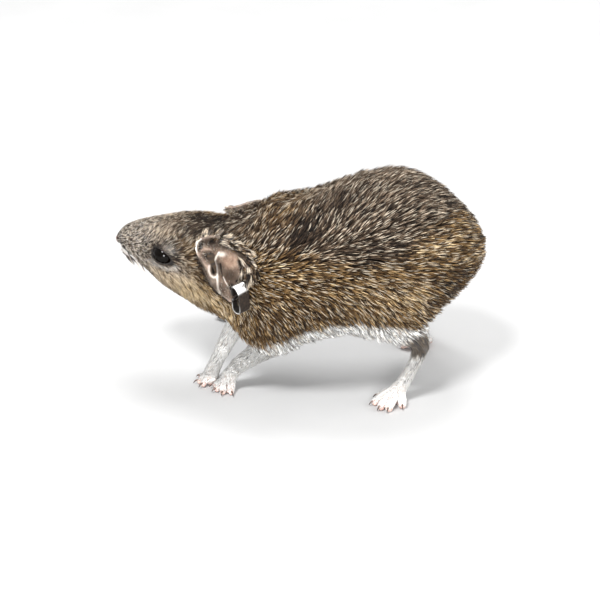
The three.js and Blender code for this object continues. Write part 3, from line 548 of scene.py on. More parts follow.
def foot_owner(P):
    """Index of the foot a point belongs to, or -1."""
    own = np.full(len(P), -1)
    for i, (name, f) in enumerate(FEET.items()):
        p, n = FOOT_CUTS[name]
        beyond = (P - np.array(p)) @ unit(n) > 0
        box = ((P > f["lo"]) & (P < f["hi"])).all(1)
        near = chain_field(P, f["chain"]) < 2.2
        for d in f["toes"]:
            near |= chain_field(P, d) < 0.8
        own[beyond & box & near] = i
    return own


# ---------------------------------------------------------------- markings
def rim_at(e, k):
    """The ear's rim as a closed curve, k in turns."""
    P = np.array(e["rim"])
    n = len(P)
    x = (np.asarray(k) % 1.0) * n
    i = x.astype(int) % n
    t = (x - np.floor(x))[..., None]
    p0, p1, p2, p3 = P[(i - 1) % n], P[i], P[(i + 1) % n], P[(i + 2) % n]
    return 0.5 * (2 * p1 + (p2 - p0) * t + (2 * p0 - 5 * p1 + 4 * p2 - p3) * t**2 + (3 * p1 - p0 - 3 * p2 + p3) * t**3)


def ear_point(e, k, r, side=0.0):
    """A point of the ear: k turns round the rim, r from the root, side 0 on the hollow face and 1 on the back."""
    n = unit(e["hollow"])
    root = np.array(e["root"])
    p = root + (rim_at(e, k) - root) * np.asarray(r)[..., None]
    return p - n * (e["cup"] * 4 * r * (1 - r) + side * EAR_THICK * np.where(r > 0.93, lerp(1.0, 0.5, ramp(0.93, 1.0, r)), 1 + 0.6 * (1 - r)))[..., None]


# dark fur and painted shade along the crease in front of each ear's lower edge
EAR_CREASE_SHADE = []
for _e in EARS.values():
    _k = np.array([9.6, 10.2, 10.8, 11.4]) / 12
    _p = ear_point(_e, _k, np.full(4, 1.12))
    EAR_CREASE_SHADE.append((_e, np.concatenate([_p, np.full((4, 1), 0.5)], 1)))
EAR_CREASE_SHADE.append((None, np.array([[-18.3, -5.9, 28.3, 0.5], [-17.5, -7.0, 26.4, 0.7], [-16.7, -7.8, 24.6, 0.7], [-15.9, -8.1, 23.0, 0.5]])))
EAR_KD = kdtree.KDTree(2 * 60 * 14)
for _j, _e in enumerate(EARS.values()):
    _kk, _rr = np.meshgrid(np.arange(60) / 60, np.linspace(0.15, 0.97, 14), indexing="ij")
    for _i, _p in enumerate(ear_point(_e, _kk.ravel(), _rr.ravel(), 0.5)):
        EAR_KD.insert(_p, _j * 840 + _i)
EAR_KD.balance()


def ear_room(P):
    """How much room hair has beside the ears: 0 close to their sheets, 1 away from them."""
    out = np.ones(len(P))
    m = (((P - [-12.5, -10.0, 27.5]) ** 2).sum(1) < 121) | (((P - [-9.5, 7.0, 31.5]) ** 2).sum(1) < 81)
    if m.any():
        out[m] = ramp(0.55, 2.0, np.array([EAR_KD.find(p)[2] for p in P[m]]))
    return out


def wave(P, scale, seed, n=7):
    """Smooth value noise about -1..1, by summed sines in random directions."""
    g = np.random.default_rng(seed)
    D = unit(g.normal(size=(n, 3))) * (2 * math.pi / scale) * g.uniform(0.6, 1.6, (n, 1))
    ph = g.uniform(0, 6.28, n)
    return np.sin(P @ D.T + ph).sum(1) / math.sqrt(n) * 0.9


def blob(t, psi, ct, cp, rt, rp):
    return np.exp(-(((t - ct) / rt) ** 2) - ((psi - cp) / rp) ** 2)


def marks(P, t, a, b, limb):
    """Ochre, grey, white and dark shares of the coat at points P; the dark share carries painted shade along the
    creases in front of the ears, and pale patches on the haunch and lower flank are painted highlights.
    """
    psi = np.degrees(np.arctan2(b, np.abs(a)))
    w1, w2 = wave(P, 6.0, 5), wave(P, 2.2, 6)
    near = psi + 2.0 * w1 + 1.6 * w2
    # edge of the white underside, then of the dark back, as angles above the side line
    edge = pchip([0, 3, 6, 9, 14, 20, 24, 27, 31, 36, 42, 47, 50, 53, 56, 60, 64, 68], [-8, -12, -24, -34, -41, -42, -42, -44, -42, -34, -35, -36, -39, -45, -44, -38, -32, -30], t)
    white = ramp(edge + 2.5, edge - 3.5, near)
    back = pchip([0, 8, 14, 20, 24, 28, 32, 36, 41, 47, 52, 57, 60, 64, 68], [62, 60, 58, 56, 50, 42, 38, 31, 21, 14, 25, 46, 56, 66, 72], t)
    dorsal = ramp(back - 7, back + 9, near)
    hump = blob(t, psi, 30.5, 74, 4.5, 20)  # golden nape
    dorsal = dorsal * (1 - 0.85 * hump)
    # grey of the muzzle and round the eyes
    face = ramp(21.5, 15.0, t + 0.12 * np.abs(psi - 25)) * ramp(-30, -12, psi + 3 * w1) * (1 - ramp(58, 76, psi) * ramp(6, 10, t))
    face = np.maximum(face, ramp(8.5, 4.5, t))
    cheek = blob(t, psi, 15.0, -2, 6.5, 19) * ramp(6.0, 10.0, t)
    temple = blob(t, psi, 18.0, 36, 3.2, 12)
    grey = np.clip(np.maximum(dorsal * 0.9, face * (1 - 0.6 * cheek)), 0, 1)
    ochre = np.clip(1 - grey, 0, 1) * (1 - 0.25 * ramp(14, 20, t) * ramp(20, 5, psi))
    dark = 0.75 * blob(t, psi, 35.0, 50, 2.6, 15)  # behind the nape
    dark = dark + 0.2 * blob(t, psi, 32.5, -14, 4.0, 13)  # low shoulder
    dark = dark + 0.45 * blob(t, psi, 59.0, -14, 4.0, 13)  # low rump
    dark = dark + 0.65 * blob(t, psi, 17.5, 74, 5.0, 16)  # crown
    dark = dark + 0.35 * blob(t, psi, 47.0, 20, 5.0, 7)
    # painted highlights: the pale patches on the haunch and on the lower flank (the first two terms)
    light = 0.55 * blob(t, psi, 54.0, 21, 3.2, 7) + 0.5 * blob(t, psi, 51.5, -14, 3.0, 12) + 0.35 * blob(t, psi, 10.0, 62, 4.0, 14)
    light = light + 1.8 * cheek + 0.3 * temple + 0.35 * blob(t, psi, 9.0, 66, 4.5, 20)
    dark = dark + 0.25 * blob(t, psi, 27.5, 74, 4.5, 24)
    light = light + 0.08 * blob(t, psi, 60.0, -6, 5.0, 16) + 0.3 * blob(t, psi, 24.0, -12, 4.0, 20) + 0.25 * blob(t, psi, 47.0, -12, 5.0, 14)
    dark = dark + 0.5 * blob(t, psi, 2.2, -10, 2.0, 26) + 0.3 * blob(t, psi, 40.0, 62, 5.0, 14)
    dark = dark - light
    # painted shade: darker along the creases in front of the ears
    for _, line in EAR_CREASE_SHADE:
        m = ((P - line[:, :3].mean(0)) ** 2).sum(1) < 100
        if m.any():
            dark[m] = dark[m] + 1.3 * np.exp(-((np.maximum(chain_field(P[m], line), 0) / 0.75) ** 2))
    # limbs: white from the elbow and above the heel down
    z = P[:, 2]
    rear = P[:, 0] > 8
    leg_white = np.where(rear, ramp(11.6, 9.8, z + 0.5 * w2), ramp(14.5, 12.5, z + 0.4 * w2))
    inner = np.where(rear, ramp(0, 1, limb), limb)
    white = np.maximum(white, inner * leg_white)
    # dusky hock: the back of the heel above the white
    hock = np.where(rear, limb * ramp(10.4, 12.0, z + 0.7 * w2) * ramp(17.0, 14.6, z), 0)
    white = white * (1 - 0.85 * hock)
    dark = dark + 0.35 * hock
    ochre = np.maximum(ochre, 0.6 * hock)
    # pale lower lid line and smooth blue-grey skin above the rear of the eye
    for E, side in EYES:
        v, x, y, _ = lid_opening(P, E, side)
        m = np.linalg.norm(P - E, axis=1) < 4.4
        white = np.where(m, np.maximum(white, 0.4 * np.exp(-(((v - 1.62) / 0.24) ** 2)) * ramp(0.3, -0.4, y)), white)
        patch = np.exp(-(((x - 0.9) / 1.2) ** 2) - ((y - 1.6) / 0.62) ** 2) * m
        white, grey, ochre = np.maximum(white, 0.22 * patch), np.maximum(grey, patch), ochre * (1 - patch)
        dark = dark + np.where(m, 0.3 * np.exp(-(((v - 1.36) / 0.1) ** 2)) + 0.3 * np.exp(-(((v - 2.15) / 0.2) ** 2)) * ramp(0.2, -0.5, y), 0)
    return np.stack([ochre, grey, np.clip(white, 0, 1), np.clip(dark, -1, 1) * 0.5 + 0.5], 1)


# ---------------------------------------------------------------- making meshes
def to_frame(V):
    return (np.asarray(V, float) + SHIFT) * 0.001


def make(name, V, faces, mats, smooth=True, colours=None, uv=None, mat_index=None, body="root"):
    """A mesh object from points in raw millimetres and a list of triangle or quad arrays."""
    me = bpy.data.meshes.new(name)
    V = to_frame(V)
    faces = faces if isinstance(faces, list) else [faces]
    me.vertices.add(len(V))
    me.vertices.foreach_set("co", V.astype(np.float32).ravel())
    loops = np.concatenate([f.ravel() for f in faces]).astype(np.int32)
    totals = np.concatenate([np.full(len(f), f.shape[1], np.int32) for f in faces])
    starts = np.concatenate([[0], np.cumsum(totals)[:-1]]).astype(np.int32)
    me.loops.add(len(loops))
    me.loops.foreach_set("vertex_index", loops)
    me.polygons.add(len(totals))
    me.polygons.foreach_set("loop_start", starts)
    me.polygons.foreach_set("loop_total", totals)
    me.polygons.foreach_set("use_smooth", np.full(len(totals), smooth))
    if uv is not None:
        layer = me.uv_layers.new(name="OFBake")
        layer.data.foreach_set("uv", np.asarray(uv, np.float32)[loops].ravel())
    for key, val in (colours or {}).items():
        at = me.attributes.new(key, "FLOAT_COLOR", "POINT")
        at.data.foreach_set("color", np.ascontiguousarray(val, np.float32).ravel())
    me.update(calc_edges=True)
    me.validate()
    mats = mats if isinstance(mats, list) else [mats]
    for m in mats:
        me.materials.append(m)
    if mat_index is not None:
        me.polygons.foreach_set("material_index", np.asarray(mat_index, np.int32))
    o = bpy.data.objects.new(name, me)
    bpy.context.collection.objects.link(o)
    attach(o, body)
    return o


def tube(path, sides, radii=None, side0=None, cap=True):
    """A tube along path rows x, y, z, r. Returns points and faces."""
    A = np.asarray(path, float)
    n = len(A)
    T = unit(np.gradient(A[:, :3], axis=0))
    s = np.array(side0 if side0 is not None else np.cross(T[0], [0, 0, 1.0] if abs(T[0][2]) < 0.9 else [1.0, 0, 0]), float)
    S = np.zeros((n, 3))
    for i in range(n):
        s = unit(s - T[i] * (s @ T[i]))
        S[i] = s
    U = np.cross(T, S)
    ang = np.arange(sides) * 2 * math.pi / sides
    V = A[:, None, :3] + A[:, None, 3:4] * (S[:, None] * np.cos(ang)[None, :, None] + U[:, None] * np.sin(ang)[None, :, None])
    V = V.reshape(-1, 3)
    i, k = np.meshgrid(np.arange(n - 1), np.arange(sides), indexing="ij")
    k2 = (k + 1) % sides
    Q = np.stack([i * sides + k, i * sides + k2, (i + 1) * sides + k2, (i + 1) * sides + k], -1).reshape(-1, 4)
    T3 = []
    if cap:
        V = np.concatenate([V, [A[0, :3]], [A[-1, :3]]])
        kk = np.arange(sides)
        T3.append(np.stack([np.full(sides, len(V) - 2), (kk + 1) % sides, kk], 1))
        T3.append(np.stack([np.full(sides, len(V) - 1), (n - 1) * sides + kk, (n - 1) * sides + (kk + 1) % sides], 1))
        T3 = np.concatenate(T3)
        return V, [Q, T3]
    return V, [Q]


def join(parts):
    """Joins (points, [faces...]) pairs."""
    Vs, F3, F4, o = [], [], [], 0
    for V, faces in parts:
        Vs.append(V)
        for f in faces:
            (F3 if f.shape[1] == 3 else F4).append(f + o)
        o += len(V)
    out = []
    if F4:
        out.append(np.concatenate(F4))
    if F3:
        out.append(np.concatenate(F3))
    return np.concatenate(Vs), out


def centres(V, Q):
    return V[Q].mean(1)


def compact(V, Q):
    used = np.unique(Q)
    new = np.full(len(V), -1)
    new[used] = np.arange(len(used))
    return V[used], new[Q]


# ---------------------------------------------------------------- the skin
def build_skin():
    zones = []
    V, Q = nets(skin, [-35, -13, 8], [-6, 16, 38], 0.2)
    c = centres(V, Q)
    t = BODY.local(c)[0]
    zones.append(compact(V, Q[(t < 21.5) & (limb_of(c) < 0.4) & (foot_owner(c) < 0)]))
    V, Q = nets(skin, [-18, -19, 2], [35, 20, 43], 0.5)
    c = centres(V, Q)
    t = BODY.local(c)[0]
    keep = (t > 21.2) | (limb_of(c) > 0.3)
    for name, f in FEET.items():
        p, n = FOOT_CUTS[name]
        keep &= ~(((c - np.array(p)) @ unit(n) > 0.3) & ((c > f["lo"]) & (c < f["hi"])).all(1) & (chain_field(c, f["chain"]) < 2.2))
    zones.append(compact(V, Q[keep]))
    for name, f in FEET.items():
        V, Q = nets(skin, np.maximum(f["lo"], [-99, -99, -0.6]), f["hi"], 0.17)
        c = centres(V, Q)
        p, n = FOOT_CUTS[name]
        d = chain_field(c, f["chain"])
        for toe in f["toes"]:
            d = np.minimum(d, chain_field(c, toe) + 1.4)
        zones.append(compact(V, Q[((c - np.array(p)) @ unit(n) > -0.1) & (d < 2.2)]))
    return join([(v, [q]) for v, q in zones])


def limb_of(P):
    return form(P)[5]


def normals_of(V, Q):
    fn = np.cross(V[Q[:, 2]] - V[Q[:, 0]], V[Q[:, 3]] - V[Q[:, 1]])
    n = np.stack([np.bincount(Q.ravel(), np.repeat(fn[:, i], 4), len(V)) for i in range(3)], 1)
    return unit(n)


SKIN_V, SKIN_F = build_skin()
SKIN_Q = SKIN_F[0]
SKIN_N = normals_of(SKIN_V, SKIN_Q)
S_T, S_A, S_B, S_R, S_OUT, S_LIMB = form(SKIN_V)
S_FOOT = foot_owner(SKIN_V)


# ---------------------------------------------------------------- materials
def srgb(h):
    c = [int(h[i : i + 2], 16) / 255 for i in (1, 3, 5)]
    return tuple(x / 12.92 if x <= 0.04045 else ((x + 0.055) / 1.055) ** 2.4 for x in c) + (1.0,)


class Mat:
    """Small helper for building node materials."""

    def __init__(self, name, rough=0.6, spec=0.4):
        self.m = bpy.data.materials.new(name)
        self.m.use_nodes = True
        self.t = self.m.node_tree
        self.b = self.t.nodes["Principled BSDF"]
        self.b.inputs["Roughness"].default_value = rough
        self.b.inputs["Specular IOR Level"].default_value = spec

    def set(self, **kw):
        for k, v in kw.items():
            self.b.inputs[k.replace("_", " ")].default_value = v
        return self

    def node(self, kind, ins=None, **props):
        n = self.t.nodes.new(kind)
        for k, v in props.items():
            setattr(n, k, v)
        for k, v in (ins or {}).items():
            self.put(n.inputs[k], v)
        return n

    def put(self, socket, v):
        if isinstance(v, bpy.types.NodeSocket):
            self.t.links.new(v, socket)
        else:
            socket.default_value = v

    def attr(self, name):
        n = self.node("ShaderNodeAttribute", attribute_name=name, attribute_type="GEOMETRY")
        s = self.node("ShaderNodeSeparateColor", {0: n.outputs["Color"]})
        return s.outputs[0], s.outputs[1], s.outputs[2], n.outputs["Alpha"]

    def math(self, op, a, b=0.0, c=None, clamp=False):
        n = self.node("ShaderNodeMath", {0: a, 1: b}, operation=op, use_clamp=clamp)
        if c is not None:
            self.put(n.inputs[2], c)
        return n.outputs[0]

    def lin(self, x, k, c=0.0, clamp=False):
        return self.math("MULTIPLY_ADD", x, k, c, clamp)

    def mix(self, f, a, b, blend="MIX"):
        n = self.node("ShaderNodeMix", data_type="RGBA", blend_type=blend)
        self.put(n.inputs["Factor"], f)
        self.put(n.inputs["A"], a)
        self.put(n.inputs["B"], b)
        return n.outputs["Result"]

    def ramp(self, f, stops, kind="LINEAR"):
        n = self.node("ShaderNodeValToRGB", {0: f})
        e = n.color_ramp.elements
        n.color_ramp.interpolation = kind
        e[0].position, e[0].color = stops[0][0], stops[0][1]
        e[1].position, e[1].color = stops[-1][0], stops[-1][1]
        for p, c in stops[1:-1]:
            x = e.new(p)
            x.color = c
        return n.outputs[0]

    def place(self):
        if not hasattr(self, "_place"):
            self._place = self.node("ShaderNodeTexCoord").outputs["Object"]
        return self._place

    def noise(self, scale, detail=3.0, rough=0.5, distort=0.0, stretch=None):
        v = self.place()
        if stretch is not None:
            v = self.node("ShaderNodeMapping", {0: v, "Scale": stretch}).outputs[0]
        return self.node("ShaderNodeTexNoise", {"Vector": v, "Scale": scale, "Detail": detail, "Roughness": rough, "Distortion": distort}).outputs[0]

    def cells(self, scale, feature="F1", rand=1.0):
        return self.node("ShaderNodeTexVoronoi", {"Vector": self.place(), "Scale": scale, "Randomness": rand}, feature=feature).outputs["Distance"]

    def bump(self, height, dist, strength=1.0, after=None):
        n = self.node("ShaderNodeBump", {"Height": height, "Distance": dist, "Strength": strength})
        if after is not None:
            self.put(n.inputs["Normal"], after)
        return n.outputs[0]

    def out(self, colour=None, rough=None, normal=None):
        if colour is not None:
            self.put(self.b.inputs["Base Color"], colour)
        if rough is not None:
            self.put(self.b.inputs["Roughness"], rough)
        if normal is not None:
            self.put(self.b.inputs["Normal"], normal)
        return self.m


def grey(v):
    return (v, v, v, 1.0)


# shades of the coat from dark to light
OCHRE = [(0.0, srgb("#0b0603")), (0.25, srgb("#28190c")), (0.5, srgb("#5e4528")), (0.75, srgb("#93744a")), (1.0, srgb("#e4cba0"))]
SALT = [(0.0, srgb("#090604")), (0.25, srgb("#1e1610")), (0.5, srgb("#483a2f")), (0.75, srgb("#7c6b5b")), (1.0, srgb("#d8c8b4"))]
WHITE = [(0.0, srgb("#8e8c89")), (0.22, srgb("#c2c2c0")), (0.5, srgb("#e6e7e6")), (0.8, srgb("#f3f2f0")), (1.0, srgb("#fdfcfa"))]


def coat_material():
    m = Mat("fur", 0.55, 0.2)
    ochre, salt, white, dark = m.attr("marks")
    u, r1, r2, r3 = m.attr("strand")
    # a strand's own shade: darker at the root, lighter at the tip, darker in dark patches
    f = m.math("MULTIPLY_ADD", r1, 0.95, m.lin(r3, 0.35, -0.3))
    f = m.math("ADD", f, m.lin(u, 0.28, -0.02))
    f = m.math("SUBTRACT", f, m.lin(dark, 0.9, -0.45), clamp=True)
    # whole locks differ a little
    f = m.math("ADD", f, m.lin(m.noise(900, 2), 0.35, -0.175), clamp=True)
    # whiter hair on the lower hind legs
    at = m.node("ShaderNodeSeparateXYZ", {0: m.place()}).outputs
    low = m.math("MULTIPLY", m.lin(at[2], -330.0, 3.6, True), m.lin(at[0], 200.0, 0.0, True))
    col = m.mix(salt, m.ramp(f, OCHRE), m.ramp(f, SALT))
    # dark guard hairs: a part of the strands stays dark to the tip
    guard = m.math("GREATER_THAN", r2, 0.78)
    guard = m.math("MULTIPLY", guard, m.lin(white, -0.9, 1.0))
    col = m.mix(m.math("MULTIPLY", guard, 0.75), col, srgb("#1d1611"))
    wf = m.math("ADD", m.lin(r1, 0.45, 0.22), m.math("ADD", m.lin(u, 0.42), m.lin(low, 0.45)), clamp=True)
    col = m.mix(white, col, m.ramp(wf, WHITE))
    # cream tips
    tip = m.math("MULTIPLY", m.math("LESS_THAN", r2, m.lin(dark, -0.3, 0.30)), m.lin(u, 1.5, -0.3, True))
    col = m.mix(m.math("MULTIPLY", tip, 0.75), col, srgb("#e9dcc6"))
    root = m.ramp(m.math("ADD", m.lin(low, 0.45, u), m.lin(white, 0.55)), [(0.0, grey(0.25)), (0.4, grey(0.7)), (0.8, grey(1.0))])
    col = m.mix(1.0, col, root, "MULTIPLY")
    return m.out(col, m.lin(r2, 0.22, 0.45))


def skin_material():
    """Skin under the coat, darkened there as painted shade of the hair, going to bare pink on the nose, lids, soles and
    toes.
    """
    m = Mat("hide", 0.62, 0.35)
    ochre, salt, white, dark = m.attr("marks")
    bare, rim, scale, wet = m.attr("hide")
    n1, n2 = m.noise(1400, 4), m.noise(5200, 3)
    f = m.math("SUBTRACT", m.lin(n1, 0.9, -0.1), m.lin(dark, 0.5, -0.25), clamp=True)
    under = m.mix(salt, m.ramp(f, OCHRE), m.ramp(f, SALT))
    # painted shade: the skin under the coat is darkened as if shaded by the hair
    under = m.mix(1.0, under, grey(0.42), "MULTIPLY")
    pale = m.ramp(m.lin(n1, 0.6, 0.1), WHITE)
    under = m.mix(white, under, m.mix(1.0, pale, srgb("#c9bcb2"), "MULTIPLY"))
    pink = m.ramp(m.lin(n1, 0.9, 0.05), [(0.2, srgb("#94746a")), (0.5, srgb("#c9aaa0")), (0.8, srgb("#ecdad3"))])
    pink = m.mix(m.lin(n2, 0.4, -0.05, True), pink, srgb("#a88578"))
    col = m.mix(bare, under, pink)
    # dark rims of the lids and nose, with painted shade in the nostrils, the mouth's crease, the eyes' rear corners and
    # between the toes
    col = m.mix(rim, col, srgb("#15100d"))
    cell = m.cells(6500)
    h = m.math("ADD", m.lin(cell, 0.8, 0), m.lin(n2, 0.6, 0))
    nb = m.bump(h, 0.00006, 0.8, m.bump(n1, 0.0002, 0.5))
    m.set(Subsurface_Weight=0.06, Subsurface_Scale=0.001)
    return m.out(col, m.math("SUBTRACT", m.lin(n2, 0.2, 0.55), m.lin(wet, 0.35), clamp=True), nb)


def eye_material():
    m = Mat("eyeball", 0.07, 0.14)
    n = m.noise(3800, 3)
    col = m.ramp(n, [(0.3, srgb("#020100")), (0.62, srgb("#080503")), (0.8, srgb("#150d08"))])
    return m.out(col, m.lin(n, 0.06, 0.05), m.bump(m.noise(9000, 2), 0.00001, 0.15))


def ear_material():
    m = Mat("pinna", 0.6, 0.2)
    # paint shares: pink; painted shade, near black in the hollows, creases, gaps and at the root; a pale line painted
    # as highlight along ridges and fold edges; a grey-brown tone that also paints shade on the lower half
    pink, shade, line, crust_and_shade = m.attr("paint")
    n1, n2, n3 = m.noise(900, 4, 0.6), m.noise(3600, 3), m.noise(240, 2)
    base = m.ramp(m.lin(n1, 1.0, 0.0), [(0.25, srgb("#3c3028")), (0.5, srgb("#5c4e44")), (0.75, srgb("#85776a"))])
    rose = m.ramp(m.lin(n1, 0.9, 0.05), [(0.25, srgb("#6a5447")), (0.5, srgb("#937a69")), (0.75, srgb("#b9a28f"))])
    col = m.mix(pink, base, rose)
    vein = m.node("ShaderNodeTexWave", {"Vector": m.place(), "Scale": 210.0, "Distortion": 9.0, "Detail": 3.0, "Detail Scale": 1.6}).outputs[1]
    col = m.mix(m.lin(vein, 0.4, -0.14, True), col, srgb("#5c3d33"))
    col = m.mix(m.lin(n2, 0.8, -0.3, True), col, srgb("#a69584"))
    col = m.mix(m.lin(m.noise(2600, 4, 0.7), 1.6, -0.85, True), col, srgb("#4d3e34"))
    # grey-brown tone, with painted shade on the ear's lower half
    col = m.mix(crust_and_shade, col, srgb("#4a3c31"))
    # painted highlight: pale colour along the ridges, fold edges and rolled rim
    col = m.mix(m.math("POWER", line, 1.4), col, srgb("#e9dfd4"))
    # painted shade: near black in the hollows, the canal, creases and gaps, and at the root
    col = m.mix(m.math("POWER", shade, 0.8), col, srgb("#0d0704"))
    nb = m.bump(m.math("ADD", n2, m.cells(4200)), 0.00008, 0.7, m.bump(vein, 0.0001, 0.35))
    m.set(Subsurface_Weight=0.1, Subsurface_Scale=0.0008)
    return m.out(col, m.math("ADD", m.lin(n2, 0.25, 0.45), m.lin(shade, 0.3), clamp=True), nb)


def tail_hair_material():
    m = Mat("tail_hair", 0.6, 0.3)
    ochre, salt, white, dark = m.attr("marks")
    u, r1, r2, r3 = m.attr("strand")
    f = m.math("ADD", m.lin(r1, 0.6, 0.05), m.lin(u, 0.3, 0), clamp=True)
    col = m.mix(white, m.ramp(f, [(0.0, srgb("#1c1613")), (0.5, srgb("#4a3d34")), (1.0, srgb("#8a7a6b"))]), m.ramp(f, WHITE))
    return m.out(col, m.lin(r2, 0.2, 0.45))


def tail_skin_material():
    m = Mat("ringed_skin", 0.6, 0.35)
    up, ring, cell, _ = m.attr("rings")
    n1, n2 = m.noise(2400, 3), m.noise(7000, 3)
    top = m.ramp(n1, [(0.3, srgb("#2e2521")), (0.7, srgb("#5a4c44"))])
    low = m.ramp(n1, [(0.3, srgb("#9c897f")), (0.7, srgb("#cdbdb2"))])
    col = m.mix(up, low, top)
    col = m.mix(m.lin(ring, -0.75, 0.75, True), col, srgb("#1e1714"))
    nb = m.bump(m.math("ADD", ring, m.lin(n2, 0.4)), 0.00007, 0.8)
    return m.out(col, m.lin(n2, 0.2, 0.5), nb)


def claw_material():
    m = Mat("horn", 0.35, 0.5)
    along, _, _, _ = m.attr("horn")
    n = m.noise(5000, 3, stretch=(1, 1, 0.3))
    col = m.ramp(m.math("ADD", along, m.lin(n, 0.3, -0.15), clamp=True), [(0.0, srgb("#8a6c60")), (0.45, srgb("#5a463c")), (1.0, srgb("#241b16"))])
    return m.out(col, m.lin(n, 0.2, 0.22), m.bump(n, 0.00003, 0.4))


def whisker_material(name, root, tip):
    m = Mat(name, 0.4, 0.4)
    along, _, _, _ = m.attr("horn")
    n = m.noise(3000, 2)
    col = m.ramp(m.math("ADD", along, m.lin(n, 0.2, -0.1), clamp=True), [(0.0, srgb(root)), (0.35, srgb(tip)), (1.0, srgb(tip))])
    return m.out(col, m.lin(n, 0.2, 0.3))


def band_material():
    m = Mat("band_metal", 0.3, 0.3)
    m.set(Metallic=1.0)
    n1, n2 = m.noise(700, 4), m.noise(3500, 3, stretch=(1, 8, 1))
    fine = m.noise(9000, 2, stretch=(9, 1, 2))
    col = m.ramp(n1, [(0.3, srgb("#7d7b78")), (0.55, srgb("#b4b3b1")), (0.8, srgb("#d6d5d3"))])
    col = m.mix(m.lin(m.noise(1600, 5, 0.7), 2.2, -1.25, True), col, srgb("#4c4844"))
    wear_and_painted_light = m.node("ShaderNodeNewGeometry").outputs["Pointiness"]
    col = m.mix(m.lin(wear_and_painted_light, 9, -4.7, True), col, srgb("#f2f1ef"))
    # the attribute's first share is painted shade: the strip's body is darkened as shade and as the reflection of the
    # dark fur, and loses metalness; its second share is painted shadow
    painted_shade, hollow, _, _ = m.attr("wear_and_painted_light")
    t1 = m.math("MULTIPLY", painted_shade, m.lin(m.noise(1500, 4, 0.6), 0.7, 0.72), clamp=True)
    col = m.mix(t1, col, m.ramp(m.noise(2200, 3), [(0.3, srgb("#17110c")), (0.7, srgb("#31261e"))]))
    # painted shadow: near black on the strip's inner face and where one leg of the loop goes into the ear
    col = m.mix(hollow, col, srgb("#120c08"))
    # painted highlight: where the painted shade is low, on the bent top, the metal is lightened to near white
    col = m.mix(m.math("SUBTRACT", m.lin(t1, -1.6, 1.0), m.lin(hollow, 1.0), clamp=True), col, srgb("#f4f3f1"))
    m.put(m.b.inputs["Metallic"], m.lin(t1, -0.7, 1.0))
    nb = m.bump(fine, 0.00002, 0.5, m.bump(n2, 0.00003, 0.5))
    return m.out(col, m.math("ADD", m.lin(n2, 0.22, 0.16), m.lin(t1, 0.3, 0.02), clamp=True), nb)


def floor_material():
    m = Mat("pale_floor", 0.75, 0.2)
    n = m.noise(60, 4)
    col = m.ramp(n, [(0.3, grey(0.45)), (0.7, grey(0.47))])
    return m.out(col, m.lin(n, 0.1, 0.7), m.bump(m.noise(900, 3), 0.00005, 0.2))


MAT = {
    "coat": coat_material(), "skin": skin_material(), "eye": eye_material(), "ear": ear_material(), "tail_hair": tail_hair_material(),
    "tail": tail_skin_material(), "claw": claw_material(), "whisker": whisker_material("whisker", "#7a6c60", "#c4bbb0"),
    "dark_whisker": whisker_material("dark_whisker", "#1a1411", "#3a2f28"), "band": band_material(), "floor": floor_material(),
}


# ---------------------------------------------------------------- the coat
rng = np.random.default_rng(20)


def limb_line():
    """Points along each limb and toe with the direction the hair takes, and how far along the limb they are."""
    out = []
    for li, (fname, f) in enumerate(FEET.items()):
        c = CHAINS[f["leg"]][0][:, :3]
        line = np.concatenate([c[:-1], f["chain"][2:, :3]])
        d = unit(np.gradient(line, axis=0))
        along = np.linspace(0, 0.7, len(line))
        r = np.concatenate([CHAINS[f["leg"]][0][:-1, 3], f["chain"][2:, 3]])
        out += [(*p, *q, s, li, rr) for p, q, s, rr in zip(line, d, along, r)]
        for k, toe in enumerate(f["toes"]):
            tl = smooth_chain(toe, 6)
            td = unit(np.gradient(tl[:, :3], axis=0))
            out += [(*p[:3], *q, 0.72 + 0.26 * i / 6, li, p[3]) for i, (p, q) in enumerate(zip(tl, td))]
    return np.array(out)


LIMB_LINE = limb_line()


def sample(count, weight):
    """Random points on the skin's quads, chosen by area times weight."""
    V, Q = SKIN_V, SKIN_Q
    A, B, C, D = (V[Q[:, i]] for i in range(4))
    area = 0.5 * (np.linalg.norm(np.cross(B - A, C - A), axis=1) + np.linalg.norm(np.cross(C - A, D - A), axis=1))
    w = area * weight[Q].mean(1)
    total = w.sum()
    n = int(total) if count is None else count
    cum = np.cumsum(w) / total
    # an even spread over the cumulative area, so that bare spots don't show
    u = (np.arange(n) + rng.random(n)) / n
    q = Q[np.minimum(np.searchsorted(cum, u), len(Q) - 1)]
    x, y = rng.random(n)[:, None], rng.random(n)[:, None]
    def mix(F):
        return (F[q[:, 0]] * (1 - x) + F[q[:, 1]] * x) * (1 - y) + (F[q[:, 3]] * (1 - x) + F[q[:, 2]] * x) * y
    return mix(SKIN_V), unit(mix(SKIN_N)), area


def hair_length(t):
    return pchip([0, 1.5, 4, 8, 13, 19, 25, 33, 58, 66, 70], [0.3, 0.5, 0.75, 1.0, 1.25, 1.55, 1.9, 2.15, 2.2, 2.1, 1.6], t)


def hair_width(t):
    return pchip([0, 4, 10, 20, 30, 70], [0.10, 0.13, 0.145, 0.15, 0.155, 0.155], t)


def hair_density(t):
    return pchip([0, 3, 10, 16, 22, 30, 70], [85, 72, 50, 36, 24, 19, 18], t)


